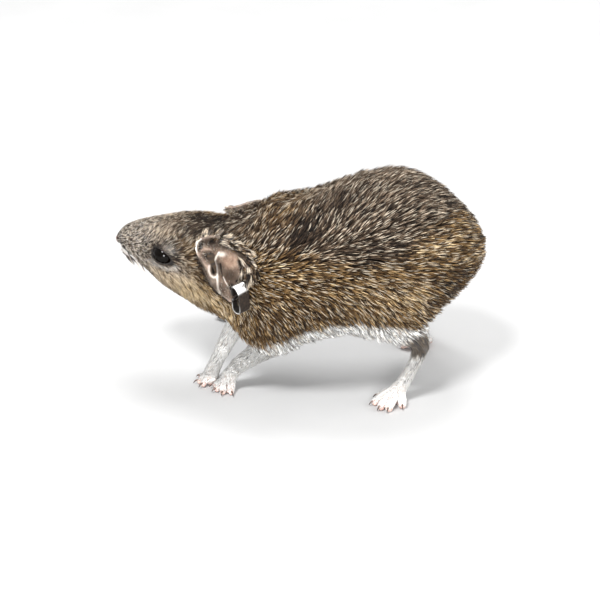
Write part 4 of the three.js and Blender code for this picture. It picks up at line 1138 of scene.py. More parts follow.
def lie(P, N, t, a, b, r, limb):
    """The direction in which the hair lies at each root."""
    T = r[:, 3:6]
    T = unit(T - N * (T * N).sum(1)[:, None])
    C = np.cross(N, T) * np.where(a > 0, 1.0, -1.0)[:, None]
    psi = np.degrees(np.arctan2(b, np.abs(a)))
    up = pchip([0, 4, 8, 14, 21, 27, 33, 40, 46, 54, 60, 68], [10, 25, 40, 42, 34, 40, 54, 46, 32, 16, 4, 0], t)
    low = pchip([0, 4, 8, 14, 21, 27, 33, 40, 46, 54, 60, 68], [15, 30, 38, 36, 40, 54, 60, 46, 40, 40, 34, 16], t)
    mid = pchip([0, 10, 20, 30, 70], [5, 20, 30, 18, 16], t)
    alpha = up * ramp(mid, mid + 34, psi) * ramp(91, 74, psi) - low * ramp(mid, mid - 46, psi) * ramp(-91, -70, psi)
    alpha = np.radians(alpha + 7 * wave(P, 4.5, 31) + 5 * wave(P, 1.6, 32))
    D = T * np.cos(alpha)[:, None] + C * np.sin(alpha)[:, None]
    # limbs: down the leg and along the toes
    m = limb > 0.02
    if m.any():
        d2 = ((P[m][:, None] - LIMB_LINE[None, :, :3]) ** 2).sum(2)
        k = d2.argmin(1)
        L = LIMB_LINE[k, 3:6]
        L = unit(L - N[m] * (L * N[m]).sum(1)[:, None])
        D[m] = unit(lerp(D[m], L, ramp(0.02, 0.6, limb[m])[:, None]))
    return unit(D)


def blades(root, N, D, mid, tip, w, h):
    """Three-sided tapered blades with one bend. Returns points, faces, and u along each (0 root, 1 tip)."""
    n = len(root)
    S = unit(np.cross(N, D))
    a0 = mid - root
    ring = []
    for c, k, u in ((root, 0.75, 0.0), (mid, 1.0, 0.5)):
        up = unit(np.cross(unit(tip - c), S)) * -1
        up = np.where((up * N).sum(1)[:, None] < 0, -up, up)
        ring.append(np.stack([c - S * (w * k / 2)[:, None], c + up * (h * k)[:, None], c + S * (w * k / 2)[:, None]], 1))
    V = np.concatenate([ring[0], ring[1], tip[:, None]], 1).reshape(-1, 3)
    F = np.array([[0, 1, 4], [0, 4, 3], [1, 2, 5], [1, 5, 4], [2, 0, 3], [2, 3, 5], [3, 4, 6], [4, 5, 6], [5, 3, 6]])
    F = (np.arange(n)[:, None, None] * 7 + F[None]).reshape(-1, 3)
    return V, F, np.tile([0, 0, 0, 0.5, 0.5, 0.5, 1.0], n), np.tile([0, 0.5, 1, 0, 0.5, 1, 0.5], n)


def spikes(root, N, D, tip, w, h):
    """Three-sided straight spikes."""
    n = len(root)
    S = unit(np.cross(N, D))
    V = np.stack([root - S * (w / 2)[:, None], root + N * h[:, None], root + S * (w / 2)[:, None], tip], 1).reshape(-1, 3)
    F = np.array([[0, 1, 3], [1, 2, 3], [2, 0, 3]])
    F = (np.arange(n)[:, None, None] * 4 + F[None]).reshape(-1, 3)
    return V, F, np.tile([0, 0, 0, 1.0], n), np.tile([0, 0.5, 1, 0.5], n)


def settle(P, N, level):
    """Moves points along N until the coat's outer value is level."""
    for _ in range(2):
        F = outer_with_feet(P)
        P = P + N * np.clip(level - F, -1.2, 1.2)[:, None]
    return P


def outer_with_feet(P):
    F = whole(P)
    for f in FEET.values():
        m = ((P > f["lo"]) & (P < f["hi"])).all(1)
        if m.any():
            F[m] = np.minimum(F[m], foot_field(P[m], f) - 0.16)
    return F


PATCH = 0.003


def coat_piece(name, root, N, D, L, w, kind, uv_root, mk, mat, level, clump=None, shade=None):
    """One piece of the coat. uv_root places each tuft on the skin's unwrap."""
    n = len(root)
    step = D * L[:, None]
    tip = root + step
    if clump is not None:
        tip = tip + clump
    tip = settle(tip, N, level)
    if kind == "blade":
        mid = root + (tip - root) * 0.5
        d0 = outer_with_feet(mid)
        rise = np.clip(level * 0.6 - 0.12 * np.abs(d0) - d0, 0, 0.9)
        mid = mid + N * (rise * 0.75)[:, None]
        V, F, u, v = blades(root, N, D, mid, tip, w, w * 0.36)
        per = 7
    else:
        V, F, u, v = spikes(root, N, D, tip, w, w * 0.45)
        per = 4
    uv = np.repeat(uv_root, per, 0) + np.stack([(u - 0.5), (v - 0.5)], 1) * PATCH
    rnd, rnd2, rnd3 = rng.random(n), rng.random(n), rng.random(n)
    if shade is not None:
        rnd = np.clip(lerp(rnd, shade[0], 0.48), 0, 1)
        rnd2 = np.where(rng.random(n) < 0.4, shade[1], rnd2)
    strand = np.stack([u, np.repeat(rnd, per), np.repeat(rnd2, per), np.repeat(rnd3, per)], 1)
    col = {"marks": np.repeat(mk, per, 0), "strand": strand}
    o = make(name, V, F, mat, colours=col, uv=uv)
    return o, n, len(F)


def clumps(root, D, t, size, pull, share=0.12):
    """Pulls each tip towards the middle of its lock, across the lie."""
    n = len(root)
    m = max(int(n * share), 8)
    pick = rng.choice(n, m, replace=False)
    kd = kdtree.KDTree(m)
    for i, p in enumerate(root[pick]):
        kd.insert(p, i)
    kd.balance()
    near = np.array([kd.find(p)[1] for p in root])
    off = root[pick][near] - root
    off = off - D * (off * D).sum(1)[:, None]
    return off * pull, near


# ---------------------------------------------------------------- the tail
TAIL = [
    [29.2, 5.6, 25.0, 2.9], [29.6, 8.8, 22.4, 2.1], [28.6, 13.2, 17.0, 1.75], [25.2, 18.2, 10.9, 1.6], [21.4, 22.4, 5.2, 1.5], [17.6, 25.2, 1.9, 1.42],
    [11.0, 26.8, 1.2, 1.3], [4.0, 27.0, 1.08, 1.15], [-3.0, 26.0, 0.92, 0.98], [-8.6, 25.4, 0.76, 0.8], [-13.0, 26.4, 0.58, 0.6], [-15.6, 27.6, 0.42, 0.42],
]


def build_tail(rings=560, sides=28):
    path = smooth_chain(TAIL, rings)
    s = np.concatenate([[0], np.cumsum(np.linalg.norm(np.diff(path[:, :3], axis=0), axis=1))])
    path[:, 3] -= 0.1
    V, F = tube(path, sides, side0=[0, 0, 1.0])
    ring = s / 0.62
    saw = (ring % 1.0)
    step = np.where(saw < 0.78, saw / 0.78, (1 - saw) / 0.22)  # each ring of scales overlaps the next
    k = np.arange(sides)
    cells = 0.5 + 0.5 * np.cos(2 * math.pi * (k[None] * 7 / sides + (np.floor(ring)[:, None] % 2) * 0.5))
    h = (step[:, None] * (0.55 + 0.45 * cells))
    C = path[:, None, :3]
    W = V[: rings * sides + sides].reshape(rings + 1, sides, 3)
    R = unit(W - C)
    W = W + R * ((h - 0.5) * 0.07)[..., None]
    up = ramp(-0.35, 0.45, R[..., 2] + 0.1 * wave(W.reshape(-1, 3), 1.5, 3).reshape(R.shape[:2]))
    V = np.concatenate([W.reshape(-1, 3), V[-2:]])
    V[:, 2] = np.maximum(V[:, 2], 0.02)
    col = np.stack([up, h, cells, np.ones_like(up)], -1).reshape(-1, 4)
    col = np.concatenate([col, [[0.5, 0.5, 0.5, 1]] * 2])
    return V, F, col, path, s


TAIL_V, TAIL_F, TAIL_COL, TAIL_PATH, TAIL_S = build_tail()


# ---------------------------------------------------------------- the skin object
def hide_paint(P, t, limb, foot):
    """Bare share, dark rim of the eyelids with painted shade in the nostrils, the mouth's crease, the eyes' rear
    corners and the toe clefts, and wetness on the skin.
    """
    s, x, w = head_coords(P)
    bare, rim, wet = np.zeros(len(P)), np.zeros(len(P)), np.zeros(len(P))
    nose = np.sqrt(((s - 0.35) / 1.15) ** 2 + (x / 1.35) ** 2 + ((w - 0.1) / 1.15) ** 2)
    bare = np.maximum(bare, ramp(1.15, 0.85, nose))
    wet = np.maximum(wet, ramp(1.0, 0.7, nose))
    bare = bare * 0.55
    rim = np.maximum(rim, 0.3 * ramp(1.15, 0.85, nose))
    # painted shade: the nostrils near black
    rim = np.maximum(rim, 0.75 * ramp(0.5, 0.25, np.sqrt(((s - 0.25) / 0.8) ** 2 + ((np.abs(x) - 0.72) / 0.5) ** 2 + (w / 0.45) ** 2)))
    # painted shade along the mouth's crease
    lip = chain_field(np.stack([s, np.abs(x), w], 1), np.array([[1.5, 0.0, -1.75, 0.1], [2.8, 0.75, -2.1, 0.1], [4.6, 1.75, -2.35, 0.1], [6.6, 2.85, -2.5, 0.1]]))
    rim = np.maximum(rim, 0.6 * ramp(0.3, 0.02, lip))
    for E, side in EYES:
        v, _, _, _ = lid_opening(P, E, side)
        v, x, y, z = lid_opening(P, E, side)
        # the eye's rear corner is dark skin with painted shade
        corner = np.sqrt(((x - 2.3) / 1.35) ** 2 + ((y + 0.16) / 0.5) ** 2)  # dark rear corner
        front = np.sqrt(((x + 2.0) / 0.6) ** 2 + (y / 0.3) ** 2)
        near = (np.linalg.norm(P - E, axis=1) < 3.6) & (z > 0)
        rim = np.maximum(rim, np.maximum(ramp(1.3, 1.1, v), np.maximum(ramp(1.2, 0.8, corner), ramp(1.2, 0.8, front))) * near)
    z = P[:, 2]
    bare = np.maximum(bare, np.where(foot >= 0, 0.75 * ramp(4.2, 1.6, z) + 0.25 * ramp(1.1, 0.5, z), 0))
    # painted shade in the clefts between the toes
    for i, f in enumerate(FEET.values()):
        m = foot == i
        d = np.sort(np.stack([chain_field(P[m], toe) for toe in f["toes"]]), 0)
        rim[m] = np.maximum(rim[m], 0.75 * ramp(0.42, 0.12, d[1] - np.maximum(d[0], 0)) * ramp(3.0, 2.2, P[m, 2]))
    return np.stack([bare, rim, np.zeros(len(P)), wet], 1)


def flecks(mk, share, at):
    """Grey and dark hairs strewn through pale coat, and pale through dark on the muzzle."""
    n = len(mk)
    g = rng.random(n) < share
    pale = mk[:, 2] > 0.5
    mk[:, 2] = np.where(pale & g, rng.uniform(0.1, 0.5, n), mk[:, 2])
    mk[:, 3] = np.where(pale & g, rng.uniform(0.5, 0.95, n), mk[:, 3])
    mk[:, :2] = np.where((pale & g)[:, None], [0.15, 0.85], mk[:, :2])
    s = rng.random(n)
    mk[:, 3] = np.clip(mk[:, 3] + at * np.where(s < 0.36, 0.6, np.where(s > 0.66, -0.5, 0.0)), 0, 1)
    mk[:, 2] = np.clip(mk[:, 2] + at * np.where(s > 0.8, 0.35, 0.0), 0, 1)
    return mk


MARKS = marks(SKIN_V, S_T, S_A, S_B, S_LIMB)
MARKS[S_FOOT >= 0, 2] = 1.0
n_skin, n_tail = len(SKIN_V), len(TAIL_V)
all_V, all_F = join([(SKIN_V, [SKIN_Q]), (TAIL_V, TAIL_F)])
mat_index = np.concatenate([np.zeros(len(SKIN_Q), int), np.ones(len(TAIL_F[0]), int), np.ones(len(TAIL_F[1]), int)])
skin_obj = make(
    "skin", all_V, all_F, [MAT["skin"], MAT["tail"]],
    colours={
        "marks": np.concatenate([MARKS, np.tile([0, 1, 0, 0.5], (n_tail, 1))]),
        "hide": np.concatenate([hide_paint(SKIN_V, S_T, S_LIMB, S_FOOT), np.zeros((n_tail, 4))]),
        "rings": np.concatenate([np.zeros((n_skin, 4)), TAIL_COL]),
    },
    mat_index=mat_index)
FLESH = [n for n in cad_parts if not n.startswith(("ear", "eye"))]
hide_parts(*FLESH)


# ---------------------------------------------------------------- growing the coat
def keep_off(P, t):
    """1 where hair grows, 0 on the eyes' openings and the nose."""
    s, x, w = head_coords(P)
    k = np.ones(len(P))
    for E, side in EYES:
        v, _, _, _ = lid_opening(P, E, side)
        k *= np.where(np.linalg.norm(P - E, axis=1) < 3.4, ramp(1.12, 1.4, v), 1)
    nose = np.sqrt(((s - 0.2) / 1.1) ** 2 + (x / 1.2) ** 2 + ((w - 0.1) / 1.05) ** 2)
    return k * ramp(0.85, 1.15, nose)


ROOM = ear_room(SKIN_V)
KEEP = keep_off(SKIN_V, S_T) * ramp(0.02, 0.3, ROOM)
HEAD_PART = (S_T < 21.4) & (S_LIMB < 0.45) & (S_FOOT < 0)
LEG_PART = ((S_LIMB >= 0.45) | (S_FOOT >= 0))
BODY_PART = ~HEAD_PART & ~LEG_PART


def roots(weight):
    P, N, _ = sample(None, weight)
    t, a, b, r, F, limb = form(P)
    D = lie(P, N, t, a, b, r, np.maximum(limb, np.where(foot_owner(P) >= 0, 1.0, 0.0)))
    return P, N, D, t, a, b, limb


COAT_COUNT = [0, 0]


def piece(name, m, P, N, D, t, a, b, limb, L, w, kind, uv, mk, **kw):
    o, n, f = coat_piece(name, P[m], N[m], D[m], L[m], w[m], kind, uv, mk[m], MAT["coat"], **kw)
    COAT_COUNT[0] += n
    COAT_COUNT[1] += f
    return o


def unwrap(t, a, b):
    psi = np.arctan2(b, np.abs(a)) / math.pi + 0.5
    uv = np.stack([t, psi], 1)
    lo, hi = uv.min(0), uv.max(0)
    return 0.01 + 0.98 * (uv - lo) / np.maximum(hi - lo, 1e-6)


def grow_head():
    P, N, D, t, a, b, limb = roots(np.where(HEAD_PART, hair_density(S_T), 0) * KEEP)
    n = len(P)
    mk = flecks(marks(P, t, a, b, limb), 0.2, ramp(11.0, 6.0, t))
    L = hair_length(t) * rng.uniform(0.75, 1.25, n)
    near_eye = np.min([np.linalg.norm(P - E, axis=1) for E, _ in EYES], 0)
    L = L * (0.45 + 0.55 * ramp(2.1, 4.2, near_eye)) * (0.3 + 0.7 * ear_room(P))
    w = hair_width(t) * rng.uniform(0.8, 1.25, n) * (0.75 + 0.25 * ramp(2.1, 4.0, near_eye))
    depth = coat_depth(t, limb)
    off, near = clumps(P, D, t, 1.0, 0.3)
    # hair stands a little off the skin, by its length and the coat's depth
    for k, side in (("left", a > 0), ("right", a <= 0)):
        m = side
        level = (-0.1 + rng.uniform(-0.35, 0.45, m.sum())) * depth[m]
        piece(f"coat_head_{k}", m, P, N, D, t, a, b, limb, L, w, "spike", unwrap(t[m], a[m], b[m]), mk, level=level, clump=off[m], shade=(rng.random(n)[near][m], rng.random(n)[near][m]))


def grow_body():
    P, N, D, t, a, b, limb = roots(np.where(BODY_PART, hair_density(S_T), 0) * KEEP)
    n = len(P)
    mk = flecks(marks(P, t, a, b, limb), 0.42, 0.0)
    L = hair_length(t) * rng.uniform(0.7, 1.3, n) * lerp(1.0, 0.55, limb) * (0.3 + 0.7 * ear_room(P))
    w = hair_width(t) * rng.uniform(0.75, 1.3, n) * lerp(1.0, 0.75, limb)
    depth = coat_depth(t, limb)
    off, near = clumps(P, D, t, 1.0, 0.55)
    lift = rng.uniform(-0.28, 0.3, n)[near % n]
    _, fine = clumps(P, D, t, 1.0, 0.0, 0.42)
    lock1, lock2 = rng.random(n)[fine], rng.random(n)[fine]
    level = (-0.05 + lift + rng.uniform(-0.2, 0.2, n)) * depth
    # the body's coat in pieces: the belly, the left and the right side, each cut into lengths along the body
    order = {}
    psi = np.degrees(np.arctan2(b, np.abs(a)))
    left = a > 0
    low = psi < -38
    names = []
    for nm, m in (("belly", low), ("left", ~low & left), ("right", ~low & ~left)):
        idx = np.nonzero(m)[0]
        parts = max(1, math.ceil(len(idx) / 21500))
        cuts = np.quantile(t[idx], np.linspace(0, 1, parts + 1))
        cuts[-1] += 1
        for i in range(parts):
            sel = m & (t >= cuts[i]) & (t < cuts[i + 1])
            piece(f"coat_{nm}_{i + 1}", sel, P, N, D, t, a, b, limb, L, w, "blade", unwrap(t[sel], a[sel], b[sel]), mk, level=level[sel], clump=off[sel], shade=(lock1[sel], lock2[sel]))


def grow_legs():
    z = SKIN_V[:, 2]
    dens = np.where(LEG_PART, np.where(S_FOOT >= 0, 48.0, 40.0), 0) * ramp(0.5, 1.3, z)
    # toe tips and the sole's underside stay bare
    dens = dens * ramp(-0.75, -0.3, SKIN_N[:, 2] + np.where(z < 2.5, 0, 1))
    P, N, D, t, a, b, limb = roots(dens)
    n = len(P)
    mk = marks(P, t, a, b, np.ones(n))
    foot = foot_owner(P)
    mk[foot >= 0, 2] = np.maximum(mk[foot >= 0, 2], ramp(9.0, 7.5, P[foot >= 0, 2]))
    z = P[:, 2]
    mk = flecks(mk, 0.06 + 0.07 * ramp(3.0, 9.0, z), 0.0)
    L = (0.45 + 0.85 * ramp(2.0, 11.0, z)) * rng.uniform(0.7, 1.3, n)
    w = (0.10 + 0.06 * ramp(2.0, 10.0, z)) * rng.uniform(0.8, 1.2, n)
    level = 0.02 + rng.uniform(-0.08, 0.16, n)
    d2 = ((P[:, None, ::1] - LIMB_LINE[None, ::3, :3]) ** 2).sum(2)
    k = d2.argmin(1) * 3
    li = LIMB_LINE[k, 7]
    q = P - LIMB_LINE[k, :3]
    ang = np.arctan2(q[:, 1], q[:, 0]) / (2 * math.pi) + 0.5
    uv = np.stack([0.01 + 0.98 * np.clip(LIMB_LINE[k, 6] * 0.9 + 0.1 * (1 - np.clip(z / 18, 0, 1)), 0, 1), (li + 0.04 + 0.92 * ang) / 4], 1)
    for nm, m in (("fore", li < 2), ("hind", li >= 2)):
        piece(f"coat_{nm}legs", m, P, N, D, t, a, b, limb, L, w, "spike", uv[m], mk, level=level[m], shade=(np.where(mk[m, 2] > 0.5, 1.5, rng.random(m.sum())), rng.random(m.sum())))


def grow_tail():
    V = TAIL_V[: len(TAIL_PATH) * 28].reshape(len(TAIL_PATH), 28, 3)
    n = int(9.0 * TAIL_S[-1] * 6)
    u = rng.uniform(0.03, 1, n) * (len(V) - 2)
    i = u.astype(int)
    f = (u - i)[:, None]
    k = rng.integers(0, 28, n)
    P = V[i, k] * (1 - f) + V[i + 1, k] * f
    C = TAIL_PATH[i, :3] * (1 - f) + TAIL_PATH[i + 1, :3] * f
    N = unit(P - C)
    D = unit(TAIL_PATH[i + 1, :3] - TAIL_PATH[i, :3])
    up = ramp(-0.35, 0.45, N[:, 2] + 0.15 * rng.normal(size=n))
    L = rng.uniform(0.5, 1.0, n) * (0.75 + 0.5 * u / len(V)) * 0.9
    w = np.full(n, 0.07)
    tip = P + D * (L * 0.96)[:, None] + N * (L * 0.16)[:, None]
    tip[:, 2] = np.maximum(tip[:, 2], 0.03)
    V3, F, uu, vv = spikes(P, N, D, tip, w, w * 0.5)
    uv_root = np.stack([0.01 + 0.98 * u / len(V), 0.01 + 0.98 * k / 28], 1)
    uv = np.repeat(uv_root, 4, 0) + np.stack([uu - 0.5, vv - 0.5], 1) * PATCH
    rr = rng.random((n, 3))
    col = {"marks": np.repeat(np.stack([np.zeros(n), np.ones(n), 1 - up, np.full(n, 0.5)], 1), 4, 0), "strand": np.concatenate([uu[:, None], np.repeat(rr, 4, 0)], 1)}
    o = make("coat_tail", V3, F, MAT["tail_hair"], colours=col, uv=uv)
    COAT_COUNT[1] += len(F)


grow_head()
grow_body()
grow_legs()
grow_tail()
print("coat", COAT_COUNT)


# ---------------------------------------------------------------- eyes
def build_eye(node, E, side):
    out, along, over = eye_frame(E, side)
    ball = bpy.data.meshes.new(node)
    n, m = 40, 72
    th = np.linspace(0, math.pi, n + 1)
    ph = np.arange(m) * 2 * math.pi / m
    r = EYE["r"] * (1 + 0.03 * np.exp(-((th / 0.9) ** 2)))  # the cornea stands a little proud
    V = E + (np.cos(th) * r)[:, None, None] * out + (np.sin(th) * r)[:, None, None] * (np.cos(ph)[None, :, None] * along + np.sin(ph)[None, :, None] * over)
    V = V.reshape(-1, 3)
    i, k = np.meshgrid(np.arange(n), np.arange(m), indexing="ij")
    k2 = (k + 1) % m
    Q = np.stack([i * m + k, (i + 1) * m + k, (i + 1) * m + k2, i * m + k2], -1).reshape(-1, 4)
    if side > 0:
        Q = Q[:, ::-1]
    o = make(node + "_ball", V, Q, MAT["eye"])
    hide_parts(node)
    return o


for _node, (_E, _side) in zip(("eye_left", "eye_right"), EYES):
    build_eye(_node, _E, _side)


# ---------------------------------------------------------------- ears
def stroke(q, pts, half):
    """1 on a line through pts, falling off over half, at picture points q."""
    A = np.array(pts, float)
    d = np.full(len(q), 1e9)
    for p0, p1 in zip(A[:-1], A[1:]):
        e = p1 - p0
        h = np.clip(((q - p0) @ e) / (e @ e), 0, 1)
        d = np.minimum(d, np.linalg.norm(q - p0 - h[:, None] * e, axis=1))
    return np.exp(-((d / half) ** 2))


def dab(q, c, r):
    return np.exp(-((((q - np.array(c)) / np.array(r)) ** 2).sum(1)) ** 1.5)


# folds of the left ear's hollow side, laid out as seen by the camera; the shade share is painted shade in the hollows,
# canal, creases and gaps, the line share a pale painted highlight along ridges and fold edges, and the crust share a
# grey-brown tone that also paints shade on the lower half:
# line, half width, height, then pink, shade, line and crust shares
EAR_LINES = [
    ([(197, 252.5), (196.3, 246), (198, 241.5), (201.5, 239.3)], 0.95, 0.30, 0, 0, 0.95, 0),
    ([(199.8, 250), (200.2, 245.5), (202.5, 242.8)], 1.9, -0.55, 0, 1.0, 0, 0),
    ([(197.5, 255), (201, 260), (205, 265), (208, 267.5)], 1.7, 0.32, 1.0, 0, 0.3, 0),
    ([(201, 250.5), (205, 248.8), (210, 249.5)], 1.4, 0.15, 0.7, 0, 0.15, 0),
    ([(212.7, 262.5), (213.2, 267), (213.4, 272.5)], 2.3, -1.0, 0, 1.0, 0, 0),
    ([(219, 252.5), (216.2, 257), (214.9, 261), (216.6, 266), (217.4, 272), (217.4, 279), (217.6, 284), (218, 289), (220, 293)], 1.2, 0.38, 0, 0, 0.85, 0),
    ([(209.3, 266), (208.9, 271), (210.5, 275.2), (213.5, 277.4), (216, 277.2)], 1.4, 0.22, 0.2, 0, 0.8, 0),
    ([(220.4, 264), (220.8, 268), (222.2, 275), (223.3, 280)], 0.8, -0.25, 0, 0.5, 0, 0.3),
    ([(223.4, 277), (226, 283), (229, 289), (232.5, 294.5), (236, 300), (238.5, 303)], 0.65, 0.3, 0, 0, 0.75, 0),
    ([(239, 261), (240.6, 266), (241.6, 272), (242.2, 278), (243.6, 285)], 1.7, -0.6, 0, 1.0, 0, 0),
    ([(231, 287), (234.5, 293), (238.5, 299)], 3.4, -0.5, 0, 1.0, 0, 0),
    ([(197.5, 261), (201, 270), (204.5, 278), (209.5, 286), (214.5, 293)], 3.6, -0.1, 0, 1.0, 0, 0.3),
    ([(212, 245.5), (222, 246), (232, 249), (238, 253.5), (242, 258)], 2.4, -0.25, 0, 0.5, 0, 0.4),
]
# patches: centre, half sizes, height, pink, shade (painted shade), line (painted highlight), crust (grey-brown tone
# with painted shade)
EAR_DABS = [
    ((208.5, 256), (5.6, 4.2), -0.6, 0, 0.8, 0, 0.4),
    ((221.8, 254.5), (4.6, 2.8), 0.25, 0.2, 0, 0.7, 0),
    ((230.5, 261.5), (9, 8.5), 0.25, 1.0, 0, 0, 0),
    ((230, 276), (8.5, 7), 0.05, 0.3, 0.42, 0, 0.7),
    ((219, 291), (8, 9), 0.0, 0, 0.35, 0, 0.7),
    ((213, 281), (4.5, 4), 0.0, 0, 0.1, 0.2, 0.35),
    ((237.6, 281.5), (2.4, 1.8), -0.4, 0, 1.0, 0, 0),
    ((211, 242.5), (8.5, 4.2), -0.1, 0, 0.65, 0, 0.4),
]


def ear_relief(k, r):
    q = to_picture(ear_point(EARS["ear_left"], k, r).reshape(-1, 3))
    h = np.zeros(len(q))
    for pts, half, dz, *c in EAR_LINES:
        h += 0.7 * dz * stroke(q, pts, half)
    for ctr, rad, dz, *c in EAR_DABS:
        h += 0.7 * dz * dab(q, ctr, rad)
    # the colours go where the folds have moved to
    q = to_picture(ear_point(EARS["ear_left"], k, r).reshape(-1, 3) + unit(EARS["ear_left"]["hollow"]) * (h * ramp(1.0, 0.97, r))[:, None])
    col = np.zeros((len(q), 4))
    for pts, half, dz, *c in EAR_LINES:
        g = stroke(q, pts, half)
        col = col * (1 - 0.85 * g[:, None] * (np.array(c).max() > 0.5)) + g[:, None] * np.array(c)
    for ctr, rad, dz, *c in EAR_DABS:
        g = dab(q, ctr, rad)
        col = np.maximum(col, g[:, None] * np.array(c))
    return h, np.clip(col, 0, 1)


def build_ear(node, e, rings=90, sides=260):
    r = 1 - (1 - np.linspace(0, 1, rings)) ** 1.25
    r = 0.04 + 0.96 * r
    k = np.arange(sides) / sides
    rr, kk = np.meshgrid(r, k, indexing="ij")
    flat_r, flat_k = rr.ravel(), kk.ravel()
    h, col = ear_relief(flat_k, flat_r)
    F0 = ear_point(e, flat_k, flat_r)
    n = unit(e["hollow"])
    w1, w2, w3 = wave(F0, 3.2, 51), wave(F0, 1.1, 52), wave(F0, 0.5, 53)
    edge = ramp(0.9, 1.0, flat_r)
    roll = 0.16 * np.exp(-(((flat_r - 0.965) / 0.04) ** 2))
    # the rim is a little wavy
    out = unit(F0 - np.array(e["root"]))
    Ff = F0 + n * (h * ramp(1.0, 0.97, flat_r) + roll + 0.05 * w1 + 0.025 * w2)[:, None] + out * (edge * (0.10 * w2 + 0.05 * w3))[:, None]
    B0 = ear_point(e, flat_k, flat_r, 1.0)
    Bf = B0 + n * (0.25 * h * ramp(1.0, 0.9, flat_r) + 0.06 * w1 + 0.04 * w2)[:, None] + out * (edge * (0.10 * w2 + 0.05 * w3))[:, None]
    # the back never comes through the front
    gap = ((Ff - Bf) @ n)
    Bf = Bf - n * np.clip(0.22 - gap, 0, 2)[:, None]
    m = rings * sides
    V = np.concatenate([Ff, Bf])
    i, j = np.meshgrid(np.arange(rings - 1), np.arange(sides), indexing="ij")
    j2 = (j + 1) % sides
    front = np.stack([i * sides + j, i * sides + j2, (i + 1) * sides + j2, (i + 1) * sides + j], -1).reshape(-1, 4)
    back = front[:, ::-1] + m
    j = np.arange(sides)
    j2 = (j + 1) % sides
    o = (rings - 1) * sides
    # a rounded edge between the two faces
    E = (Ff[o:] + Bf[o:]) / 2 + unit(rim_at(e, k) - np.array(e["root"])) * 0.1
    c = len(V)
    V = np.concatenate([V, E, [Ff[:sides].mean(0)], [Bf[:sides].mean(0)]])
    lip = np.concatenate([np.stack([o + j, o + j2, c + j2, c + j], 1), np.stack([c + j, c + j2, m + o + j2, m + o + j], 1)])
    caps = np.concatenate([np.stack([np.full(sides, c + sides), j2, j], 1), np.stack([np.full(sides, c + sides + 1), m + j, m + j2], 1)])
    fn = np.cross(Ff[1] - Ff[0], Ff[sides] - Ff[0])
    faces = [np.concatenate([front, back, lip]), caps]
    if fn @ n < 0:
        faces = [f[:, ::-1] for f in faces]
    back_paint = np.stack([np.full(m, 0.25), 0.25 + 0.1 * w1, np.zeros(m), np.full(m, 0.5)], 1)
    # painted shade: the painted folds' shade, and darker towards the ear's root
    shade = np.clip(1.15 * col[:, 1] + 0.7 * ramp(0.35, 0.1, flat_r), 0, 1)
    # the pale line share, raised along the rolled rim, is painted highlight
    fp = np.stack([np.clip(col[:, 0] + 0.1, 0, 1), shade, np.clip(col[:, 2] + 0.2 * roll / 0.16, 0, 1), np.clip(col[:, 3] + 0.1, 0, 1)], 1)
    if node == "ear_right":
        fp[:, 0], back_paint[:, 0] = fp[:, 0] * 0.3, 0.05
    # the rim strip takes some pale line as painted highlight; the caps at the root are painted black as shade
    paint = np.concatenate([fp, back_paint, np.tile([0.4, 0.1, 0.35, 0.2], (sides, 1)), [[0.2, 1, 0, 0]] * 2])
    o2 = make(node + "_pinna", V, faces, MAT["ear"], colours={"paint": np.clip(paint, 0, 1)})
    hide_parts(node)
    return Ff


for _node, _e in EARS.items():
    build_ear(_node, _e)


